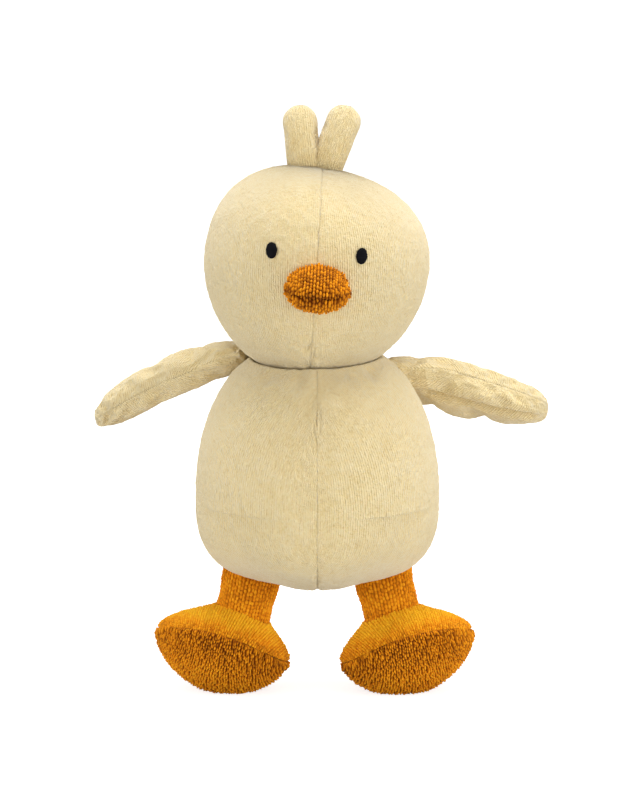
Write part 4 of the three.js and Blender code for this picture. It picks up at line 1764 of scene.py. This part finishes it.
@dataclass
class Tuft:
    """One velour finger of the crest: a front and a back panel, sewn along the sides and the round top."""

    side: Side
    lean: float
    height: float
    inward: float
    half_width: float = 7.25 * MM
    root_half_width: float = 6.9 * MM
    sunk: float = 5.0 * MM
    cushion: Cushion = Cushion(half_thickness=6.2 * MM, fullness=2.4, seam_depth=0.5 * MM, seam_share=0.08)
    bend_length: float = 8.0 * MM
    inset: float = 3.0 * MM
    count: int = 97
    step: int = 8
    stuffing: Stuffing = Stuffing(cap=0.8 * MM)

    def leaf(self) -> Leaf:
        """The finger's outline, with up along its first coordinate.

        Returns:
            The outline.
        """
        top = self.height - self.half_width
        corner = (-self.sunk, self.root_half_width)
        right = np.concatenate(([corner], arc((top, 0.0), self.half_width, 90.0, 45.0)))
        left = right * np.array((1.0, -1.0))
        return Leaf(np.array((left[0], right[0])), arc((top, 0.0), self.half_width, -45.0, 45.0), left, right)

    def axes(self) -> tuple[Grid, Grid, Grid]:
        """The finger's place on the head.

        Returns:
            Its root, and its directions up and across, which lean outwards from the joint's axis.
        """
        pivot, axis = joint(f"crest_{self.side.own}_bend")
        across = turn_about("y", self.side.value * self.lean) @ axis
        root = pivot - axis * self.side.value * self.inward
        return root, np.cross(across, BACKWARD), across

    def pillow(self, across: Grid, along: Grid, face: Face, inset: float) -> Grid:
        """Points of the finger: the outline filled, stuffed and set on the head.

        Args:
            across: the grid's first parameter, from the root to the tip.
            along: its second, from side to side.
            face: the front is the lower face, towards -Y.
            inset: how far inside the form the points are.

        Returns:
            The places in the world.
        """
        centre = np.array((self.height * 0.5, 0.0))
        flat = self.leaf().filled(across, along)
        flat, rise = self.cushion.stuffed(flat, reach_to_edge(across, along), centre, inset)
        root, up, over = self.axes()
        return root + flat[..., :1] * up + flat[..., 1:] * over + rise[..., None] * (BACKWARD * face.value)

    def build(self, wardrobe: Wardrobe) -> list[Piece]:
        """Builds and dresses the two panels and the filling.

        Args:
            wardrobe: the finishes.

        Returns:
            The three pieces.
        """
        own = self.side.own
        root, up, _ = self.axes()
        inside = root + up * self.height / 2.0
        across, along = square(self.count, self.count, 0.8)
        pieces = []
        for face, word in ((Face.LOWER, "front"), (Face.UPPER, "back")):
            points = self.pillow(across, along, face, 0.0)
            panel = Panel(points, arc_weave(points)[..., ::-1], self.step).facing_out(inside)
            name = f"crest_{own}_{word}_cover"
            pieces.append(wardrobe.sew(name, panel, wardrobe.velour, f"crest_{own}_{word}", self.stuffing))
        rings = pillow_rings(self.pillow, self.inset)
        pieces.append(wardrobe.pack(f"crest_{own}_stuffing", rings, f"crest_{own}_filling"))
        for piece in pieces:
            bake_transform(piece)
        return pieces


@dataclass
class Wing:
    """One velour wing: a top and an under panel, sewn round a leading edge, a round tip and feathers.

    Attributes:
        twist: how far the wing's blade turns along its root, in degrees: the leading edge goes up.
        core_share: the same for the filling.
        quilt_slant: how far they slant towards the root on their way to the leading edge, likewise.
    """

    side: Side
    lift: float
    droop: float
    arch: float
    twist: float
    chord: float
    tip_radius: float
    span: float
    root_chord: float = 21.0 * MM
    bow: float = 2.0 * MM
    fall: float = 4.0 * MM
    feathers: int = 3
    notch: float = 0.6 * MM
    cushion: Cushion = Cushion(half_thickness=7.2 * MM, fullness=3.6, seam_depth=1.6 * MM, seam_share=0.07)
    centre_back: float = 3.0 * MM
    root_share: float = 0.95
    core_share: float = 0.35
    root_length: float = 18.0 * MM
    sunk: float = 9.0 * MM
    quilt_depth: float = 0.34
    quilt_width: float = 0.055
    quilt_slant: float = 0.3
    quilt_spread: float = 0.86
    quilt_fade: tuple[float, float] = (0.25, 0.8)
    roll_share: float = 0.34
    roll_depth: float = 0.42
    roll_width: float = 0.07
    roll_start: tuple[float, float] = (0.15, 0.35)
    roll_end: tuple[float, float] = (0.85, 0.98)
    rib_turn: float = 40.0
    bend_start: float = -2.0 * MM
    bend_end: float = 22.0 * MM
    inset: float = 3.4 * MM
    columns: int = 177
    rows: int = 121
    step: int = 8
    stuffing: Stuffing = Stuffing(cap=1.2 * MM)

    def leaf(self) -> Leaf:
        """The wing's outline: out along the span, and back along the chord.

        Returns:
            The outline.
        """
        front = -self.root_chord / 2.0
        back = self.chord + front
        tip_out = self.span - self.tip_radius
        tip_front = front + self.fall
        middle = (tip_out, tip_front + self.tip_radius)
        leading = curve(
            (-self.sunk, front),
            (tip_out / 3, front - self.bow),
            (tip_out * 2 / 3, front),
            (tip_out, tip_front),
        )
        start, end = np.array((tip_out, tip_front + 2.0 * self.tip_radius)), np.array((-self.sunk, -front))
        shares = np.linspace(0.0, 1.0, self.feathers + 1)[:, None]
        swell = (back - self.notch - start[1]) * np.sin(math.pi * shares)
        notches = start + shares * (end - start) + swell * np.array((0.0, 1.0))
        lobes = [
            curve(here, (here + there) / 2.0 + np.array((0.0, 2.0 * self.notch)), there)
            for here, there in zip(notches[:-1], notches[1:])
        ]
        trailing = np.concatenate([arc(middle, self.tip_radius, 45.0, 90.0), *lobes])[::-1]
        leading = np.concatenate((leading, arc(middle, self.tip_radius, -90.0, -45.0)))
        root = np.array([(-self.sunk, front), (-self.sunk, -front)])
        return Leaf(root, arc(middle, self.tip_radius, -45.0, 45.0), leading, trailing)

    def axes(self) -> tuple[Grid, Grid, Grid, Grid]:
        """The wing's place on the body, from its flap joint.

        The joint's axis lies along the root seam. Out is level with the floor, at right angles to the seam,
        and then turned down by the droop.

        Returns:
            The wing's root, and its directions out, back and up.
        """
        pivot, axis = joint(f"wing_{self.side.own}_flap")
        seam = -self.side.value * axis
        level = unit(np.cross(seam, (0.0, 0.0, 1.0))) * self.side.value
        level = level * np.sign(level[0]) * self.side.value
        up = unit(np.cross(level, seam)) * self.side.value
        angle = math.radians(self.droop)
        out = level * math.cos(angle) - up * math.sin(angle)
        return pivot, out, seam, unit(np.cross(out, seam)) * self.side.value

    def pillow(self, across: Grid, along: Grid, face: Face, inset: float) -> Grid:
        """Points of the wing.

        The outline is filled and stuffed, thinner at the root, along a sewn channel in from each notch, and
        along one behind the leading edge's roll. The blade twists over the root's length, and the tip
        arches down.

        Args:
            across: the grid's first parameter, from the root to the tip.
            along: its second, from the leading edge to the feathers.
            face: the top is the upper face.
            inset: how far inside the form they are.

        Returns:
            The places in the world.
        """
        out_share, over_share = (across + 1.0) / 2.0, (along + 1.0) / 2.0
        centre = np.array((self.span * 0.5, self.centre_back))
        flat = self.leaf().filled(across, along)
        flat, rise = self.cushion.stuffed(flat, reach_to_edge(across, along), centre, inset)
        channel = np.zeros_like(rise)
        for number in range(1, self.feathers):
            place = 1.0 - number / self.feathers * self.quilt_spread - self.quilt_slant * (1.0 - over_share)
            channel = np.maximum(channel, bell(out_share - place, self.quilt_width))
        rise *= 1.0 - self.quilt_depth * channel * eased(over_share, *self.quilt_fade)
        roll = bell(over_share - self.roll_share, self.roll_width)
        shown = eased(out_share, *self.roll_start), 1.0 - eased(out_share, *self.roll_end)
        rise *= 1.0 - self.roll_depth * roll * shown[0] * shown[1]
        x, y = flat[..., 0], flat[..., 1]
        swell = eased(x, 0.0, self.root_length)
        root_share = self.root_share if inset == 0.0 else self.core_share
        z = face.value * rise * (root_share + (1.0 - root_share) * swell)
        turn = math.radians(self.twist) * swell
        y, z = y * np.cos(turn) + z * np.sin(turn), z * np.cos(turn) - y * np.sin(turn)
        z = z - self.arch * (x / self.span) ** 2 + self.lift
        pivot, out, seam, up = self.axes()
        return pivot + x[..., None] * out + y[..., None] * seam + z[..., None] * up

    def build(self, wardrobe: Wardrobe) -> list[Piece]:
        """Builds and dresses the two panels and the filling.

        Args:
            wardrobe: the finishes.

        Returns:
            The three pieces.
        """
        own = self.side.own
        pivot, out, _, _ = self.axes()
        across, along = square(self.rows, self.columns, 0.8)
        pieces = []
        faces = {face: self.pillow(across, along, face, 0.0) for face in Face}
        middle = (faces[Face.UPPER] + faces[Face.LOWER]) / 2.0
        for face, word in ((Face.UPPER, "top"), (Face.LOWER, "under")):
            weave = arc_weave(faces[face]) @ turn_about("z", self.rib_turn)[:2, :2]
            panel = Panel(faces[face], weave, self.step).facing_out(middle)
            name = f"wing_{own}_{word}_cover"
            pieces.append(wardrobe.sew(name, panel, wardrobe.velour, f"wing_{own}_{word}", self.stuffing))
        rings = pillow_rings(self.pillow, self.inset)
        pieces.append(wardrobe.pack(f"wing_{own}_stuffing", rings, f"wing_{own}_filling"))
        for piece in pieces:
            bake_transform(piece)
        return pieces


@dataclass
class Leg:
    """One terry leg: a sleeve that is flat at the hip seam and round at the ankle."""

    side: Side
    top_half_width: float = 12.4 * MM
    ankle_half_width: float = 10.9 * MM
    ankle_half_depth: float = 9.4 * MM
    hem_half: float = 0.8 * MM
    hem_up: float = 4.0 * MM
    hem_share: float = 0.15
    mouth: float = 38.0
    loop_stretch: float = 1.1
    bend_length: float = 10.0 * MM
    inset: float = 3.2 * MM
    core_start: float = 0.35
    core_end: float = 1.96
    core_rows: int = 16
    core_columns: int = 28
    columns: int = 289
    rows: int = 113
    step: int = 8
    stuffing: Stuffing = Stuffing(cap=0.7 * MM)

    def axes(self) -> tuple[Grid, Grid, float, Grid]:
        """The leg's place under the body.

        Returns:
            The hip, the direction down the leg, the leg's length and the direction across it.
        """
        hip, axis = joint(f"leg_{self.side.own}_swing")
        ankle, _ = joint(f"foot_{self.side.own}_flex")
        length = float(np.linalg.norm(ankle - hip))
        return hip, (ankle - hip) / length, length, -axis

    def form(self, share: Grid, turn: Grid, inset: float) -> Grid:
        """Points of the sleeve.

        From the hem to the ankle the half width goes evenly from the top's to the ankle's, and the half depth
        rises from the hem's as a sine. Past the ankle both follow a ball.

        Args:
            share: 0 at the hem, 1 at the ankle, and 2 at the ball's bottom.
            turn: the way round.
            inset: how far inside the form the points are.

        Returns:
            The places in the world.
        """
        hip, down, length, across = self.axes()
        shaft = np.clip(share, 0.0, 1.0)
        ball = np.clip(share - 1.0, 0.0, 1.0) * math.pi / 2.0
        width = self.top_half_width + (self.ankle_half_width - self.top_half_width) * shaft - inset
        depth = self.hem_half + (self.ankle_half_depth - self.hem_half) * np.sin(shaft * math.pi / 2.0)
        depth = np.maximum(depth - inset, 0.2 * MM)
        drop = (length + self.hem_up) * shaft - self.hem_up + (self.ankle_half_depth - inset) * np.sin(ball)
        x, y = width * np.cos(ball) * np.cos(turn), depth * np.cos(ball) * np.sin(turn)
        x, y, drop = np.broadcast_arrays(x, y, drop)
        return hip + x[..., None] * across + y[..., None] * BACKWARD + drop[..., None] * down

    def build(self, wardrobe: Wardrobe) -> list[Piece]:
        """Builds and dresses the sleeve and the filling.

        Args:
            wardrobe: the finishes.

        Returns:
            The two pieces.
        """
        own = self.side.own
        hip, down, length, _ = self.axes()
        share = np.linspace(0.0, 1.0 + self.mouth / 90.0, self.rows)[:, None]
        turn = np.linspace(0.0, math.tau, self.columns)[None, :] + math.pi / 2.0
        points = self.form(share, turn, 0.0)
        girth = math.tau * (self.ankle_half_width + self.ankle_half_depth) / 2.0
        ribs = round(girth / wardrobe.terry.rib)
        across = np.broadcast_to(np.linspace(0.0, ribs * wardrobe.terry.rib, self.columns), points.shape[:2])
        along = np.broadcast_to(share * length * self.loop_stretch, points.shape[:2])
        thinned = np.sin(np.minimum(share, 1.0) * math.pi / 2.0)
        depth = np.broadcast_to(self.hem_share + (1.0 - self.hem_share) * thinned, points.shape[:2])
        panel = Panel(points, np.stack((across, along), axis=-1), self.step, True, depth)
        panel = panel.facing_out(hip + down * length)
        core = np.linspace(self.core_start, self.core_end, self.core_rows)[:, None]
        rings = self.form(core, way_round(self.core_columns)[None, :], self.inset)
        pieces = [
            wardrobe.sew(f"leg_{own}_cover", panel, wardrobe.leg_terry, f"leg_{own}_sleeve", self.stuffing),
            wardrobe.pack(f"leg_{own}_stuffing", rings, f"leg_{own}_filling"),
        ]
        for piece in pieces:
            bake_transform(piece)
        return pieces


@dataclass
class Foot:
    """One terry foot: an upper and a sole panel that meet in the toe seam, dished for the ankle."""

    side: Side
    out: float
    half_width: float = 27.2 * MM
    toe: float = 24.8 * MM
    heel: float = 18.2 * MM
    upper: float = 12.4 * MM
    sole: float = 18.4 * MM
    drop: float = 14.6 * MM
    back: float = 0.6 * MM
    upper_thinning: float = 1.4
    sole_thinning: float = 1.35
    toe_thinning: float = 0.5
    collar: float = 6.2 * MM
    collar_spread: float = 12.0 * MM
    tilt: float = 12.5
    pitch: float = 8.0
    splay: float = 12.0
    ankle_gap: float = 0.6 * MM
    toe_lift: float = 6.0 * MM
    seam_depth: float = 0.3 * MM
    seam_share: float = 0.07
    # painted shade in the toe seam's crease, from this share of the way to the edge, on the upper and the
    # sole, and painted light over the rest of the sole
    dark_share: float = 0.65
    upper_dark: float = 0.45
    sole_dark: float = 0.14
    sole_light: float = 0.08
    rib_spread: float = 0.3
    inset: float = 3.8 * MM
    count: int = 289
    step: int = 8
    stuffing: Stuffing = Stuffing(cap=1.0 * MM)

    def turned(self) -> Grid:
        """The matrix of the foot's stand: pitched toe up, splayed, and tilted about Y."""
        flat = turn_about("z", self.side.value * self.splay) @ turn_about("x", -self.pitch)
        return turn_about("y", -self.side.value * self.tilt) @ flat

    def pillow(self, leg: Leg, across: Grid, along: Grid, face: Face, inset: float) -> Grid:
        """Points of the foot.

        A disc is stretched to an ellipse with a longer toe than heel, and raised or sunk by
        height * (1 - reach^2)^(thinning / 2), thinner towards the toe on top. The seam is drawn in, the toe
        rises with the square of its share of the way forward, and the upper is hollowed to the ankle's ball.

        Args:
            leg: the leg whose ball stands in the hollow.
            across: the grid's first parameter, from side to side.
            along: its second, from the toe to the heel.
            face: the upper or the sole.
            inset: how far inside the form they are.

        Returns:
            The places in the world.
        """
        wide, far = rounded(across, along)
        reach = reach_to_edge(across, along)
        drawn = inset + self.seam_depth * bell(1.0 - reach, self.seam_share)
        x = (self.half_width - drawn) * wide + self.side.value * self.out
        y = (np.where(far < 0.0, self.toe, self.heel) - drawn) * far + self.back
        forward = np.clip(-far, 0.0, 1.0)
        high, thinning = self.sole, self.sole_thinning
        if face is Face.UPPER:
            high, thinning = self.upper, self.upper_thinning + self.toe_thinning * forward
        z = face.value * (high - inset) * np.clip(1.0 - reach**2, 0.0, 1.0) ** (thinning / 2.0) - self.drop
        z = z + self.toe_lift * forward**2
        if face is Face.UPPER:
            z = z + self.collar * np.exp(-(x**2 + y**2) / self.collar_spread**2)
        half_width = leg.ankle_half_width + self.ankle_gap + inset
        half_depth = leg.ankle_half_depth + self.ankle_gap + inset
        level = np.clip(1.0 - (x / half_width) ** 2 - (y / half_depth) ** 2, 0.0, 1.0)
        z = np.where(level > 0.0, np.minimum(z, -half_depth * np.sqrt(level)), z)
        ankle, _ = joint(f"foot_{self.side.own}_flex")
        return ankle + np.stack((x, y, z), axis=-1) @ self.turned().T

    def build(self, leg: Leg, wardrobe: Wardrobe) -> list[Piece]:
        """Builds and dresses the two panels and the filling.

        Args:
            leg: the leg that stands on the foot.
            wardrobe: the finishes.

        Returns:
            The three pieces.
        """
        own = self.side.own
        ankle, _ = joint(f"foot_{own}_flex")
        inside = ankle - np.array((0.0, 0.0, self.drop + 2.0 * MM))
        across, along = square(self.count, self.count, 0.6)
        reach = reach_to_edge(across, along)
        # where shade is painted: the toe seam's crease at the front
        seam_shade_mask = eased(reach, self.dark_share, 1.0) * (along < 0.0)
        pieces = []
        for face, word in ((Face.UPPER, "upper"), (Face.LOWER, "sole")):
            points = self.pillow(leg, across, along, face, 0.0)
            weave = arc_weave(points)
            weave[..., 0] = ((points - ankle) @ self.turned())[..., 0] * (1.0 + self.rib_spread * reach**2)
            # painted shade by the toe seam; on the sole also painted light away from it
            dark = seam_shade_mask * self.upper_dark
            if face is Face.LOWER:
                dark = seam_shade_mask * self.sole_dark - (1.0 - seam_shade_mask) * self.sole_light
            panel = Panel(points, weave, self.step, dark=dark).facing_out(inside)
            name, node = f"foot_{own}_{word}_cover", f"foot_{own}_{word}"
            # the upper gets the lit copy of the terry, with painted light
            finish = wardrobe.instep_terry if face is Face.UPPER else wardrobe.terry
            pieces.append(wardrobe.sew(name, panel, finish, node, self.stuffing, floor=0.0))
        rings = pillow_rings(lambda *place: self.pillow(leg, *place), self.inset)
        rings[..., 2] = np.maximum(rings[..., 2], self.inset)
        pieces.append(wardrobe.pack(f"foot_{own}_stuffing", rings, f"foot_{own}_filling"))
        for piece in pieces:
            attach(piece, f"foot_{own}")
        return pieces


@dataclass(frozen=True)
class Lamp:
    """One soft box of light."""

    name: str
    place: tuple[float, float, float]
    size: tuple[float, float]
    power: float
    colour: Colour = (1.0, 1.0, 1.0)


def seen_directly(tree: bpy.types.NodeTree) -> bpy.types.NodeSocket:
    """A socket that is 1 for what the camera sees, straight, mirrored or through glass, and else 0.

    Args:
        tree: the nodes that it is added to.

    Returns:
        The socket.
    """
    path = tree.nodes.new("ShaderNodeLightPath")
    seen = path.outputs["Is Camera Ray"]
    for name in ("Is Glossy Ray", "Is Transmission Ray"):
        either = tree.nodes.new("ShaderNodeMath")
        either.operation = "MAXIMUM"
        tree.links.new(seen, either.inputs[0])
        tree.links.new(path.outputs[name], either.inputs[1])
        seen = either.outputs[0]
    return seen


@dataclass
class Studio:
    """A pale floor in an even white room, four soft boxes, and the camera of the photograph.

    Attributes:
        shown: the height that the picture shows at the aim.
        floor_glow: what the camera sees added to the floor's own light, so that it is as white as the room.
    """

    aim: tuple[float, float, float] = (-0.0010, 0.0, 0.1200)
    elevation: float = 10.0
    distance: float = 1.25
    shown: float = 0.3165
    sensor: float = 36.0
    floor_half: float = 6.0
    floor_count: int = 9
    floor_glow: float = 0.80
    room_light: float = 0.55
    lamps: tuple[Lamp, ...] = (
        Lamp("key", (0.45, -1.0, 0.75), (0.8, 0.8), 0.3),
        Lamp("top", (0.05, 0.10, 1.15), (0.9, 0.7), 12.0),
        Lamp("side", (0.95, -0.45, 0.16), (0.5, 0.5), 6.2),
        Lamp("fill", (-0.95, -0.45, 0.18), (0.5, 0.5), 4.4, (0.97, 0.985, 1.0)),
    )

    def build(self) -> None:
        """Builds the floor, the room, the lamps and the camera."""
        scene = bpy.context.scene
        scene.view_settings.view_transform = "Standard"
        self.floor()
        self.room(scene)
        for lamp in self.lamps:
            self.light(lamp, scene)
        self.camera(scene)

    def floor(self) -> None:
        """A flat pale floor under the feet."""
        across, along = square(self.floor_count, self.floor_count)
        flat = np.stack((across, along, np.zeros_like(across)), axis=-1) * self.floor_half
        index = numbered(self.floor_count, self.floor_count, 0, False)
        floor = new_mesh("floor", flat.reshape(-1, 3), quad_faces(index)[:, ::-1])
        nodes = Nodes("pale_floor")
        nodes.colour_between(nodes.noise(0.4), (0.0, (0.60, 0.60, 0.60)), (1.0, (0.63, 0.63, 0.63)))
        nodes.shade(Roughness=0.9, Specular_IOR_Level=0.1, Emission_Color=(1.0, 1.0, 1.0, 1.0))
        glow = nodes.sum_of("MULTIPLY", seen_directly(nodes.tree), self.floor_glow)
        nodes.join(glow, nodes.shader.inputs["Emission Strength"])
        floor.data.materials.append(nodes.material)

    def room(self, scene: bpy.types.Scene) -> None:
        """Sets up a world that looks white to the camera and lights the toy evenly.

        Args:
            scene: the scene that gets it.
        """
        world = bpy.data.worlds.new("white_room")
        world.use_nodes = True
        tree = world.node_tree
        tree.nodes.clear()
        shaders = []
        for strength in (self.room_light, 1.0):
            shader = tree.nodes.new("ShaderNodeBackground")
            shader.inputs["Color"].default_value = (1.0, 1.0, 1.0, 1.0)
            shader.inputs["Strength"].default_value = strength
            shaders.append(shader.outputs["Background"])
        mix = tree.nodes.new("ShaderNodeMixShader")
        tree.links.new(seen_directly(tree), mix.inputs["Fac"])
        tree.links.new(shaders[0], mix.inputs[1])
        tree.links.new(shaders[1], mix.inputs[2])
        tree.links.new(mix.outputs["Shader"], tree.nodes.new("ShaderNodeOutputWorld").inputs["Surface"])
        scene.world = world

    def light(self, lamp: Lamp, scene: bpy.types.Scene) -> None:
        """Sets up one soft box that faces the middle of the toy.

        Args:
            lamp: the soft box.
            scene: the scene that gets it.
        """
        data = bpy.data.lights.new(lamp.name, "AREA")
        data.shape = "RECTANGLE"
        data.size, data.size_y = lamp.size
        data.energy = lamp.power
        data.color = lamp.colour
        box = bpy.data.objects.new(lamp.name, data)
        box.location = lamp.place
        towards = Vector(self.aim) - Vector(lamp.place)
        box.rotation_euler = towards.to_track_quat("-Z", "Y").to_euler()
        scene.collection.objects.link(box)

    def camera(self, scene: bpy.types.Scene) -> None:
        """Sets up the camera, whose sensor's width is the picture's long side.

        Args:
            scene: the scene that gets it.
        """
        data = bpy.data.cameras.new("photo_camera")
        data.sensor_width = self.sensor
        data.lens = self.sensor * self.distance / self.shown
        rise = math.radians(self.elevation)
        back = Vector((0.0, -math.cos(rise), math.sin(rise)))
        camera = bpy.data.objects.new("photo_camera", data)
        camera.location = Vector(self.aim) + back * self.distance
        camera.rotation_euler = (-back).to_track_quat("-Z", "Y").to_euler()
        scene.collection.objects.link(camera)
        scene.camera = camera


def main() -> None:
    """Builds the chick's parts in order, then the studio."""
    logging.basicConfig(level=logging.INFO, format="%(name)s: %(message)s")
    Studio().build()
    wardrobe = Wardrobe()
    head = Head()
    legs = {side: Leg(side) for side in Side}
    body = Body()
    built = body.build(head.swept(), wardrobe)
    built += NeckThread().build(head, wardrobe)
    built += head.build(wardrobe)
    built += Beak().build(head, wardrobe)
    tufts = (
        Tuft(Side.LEFT, lean=18.0, height=23.6 * MM, inward=1.5 * MM),
        Tuft(Side.RIGHT, lean=9.0, height=22.3 * MM, inward=0.6 * MM),
    )
    left_wing = Wing(
        Side.LEFT,
        lift=-2.0 * MM,
        droop=13.0,
        arch=3.0 * MM,
        twist=17.0,
        chord=29.8 * MM,
        tip_radius=8.2 * MM,
        span=64.2 * MM,
    )
    right_wing = Wing(
        Side.RIGHT,
        lift=4.2 * MM,
        droop=16.6,
        arch=12.0 * MM,
        twist=-9.0,
        chord=27.6 * MM,
        tip_radius=9.2 * MM,
        span=67.4 * MM,
    )
    for limb in (*tufts, left_wing, right_wing):
        built += limb.build(wardrobe)
    feet = (Foot(Side.LEFT, out=2.6 * MM), Foot(Side.RIGHT, out=4.8 * MM))
    for foot in feet:
        built += legs[foot.side].build(wardrobe)
        built += foot.build(legs[foot.side], wardrobe)
    triangles = sum(len(piece.data.loops) - 2 * len(piece.data.polygons) for piece in built)
    LOG.info("%d pieces, %d triangles", len(built), triangles)


if __name__ == "__main__":
    main()
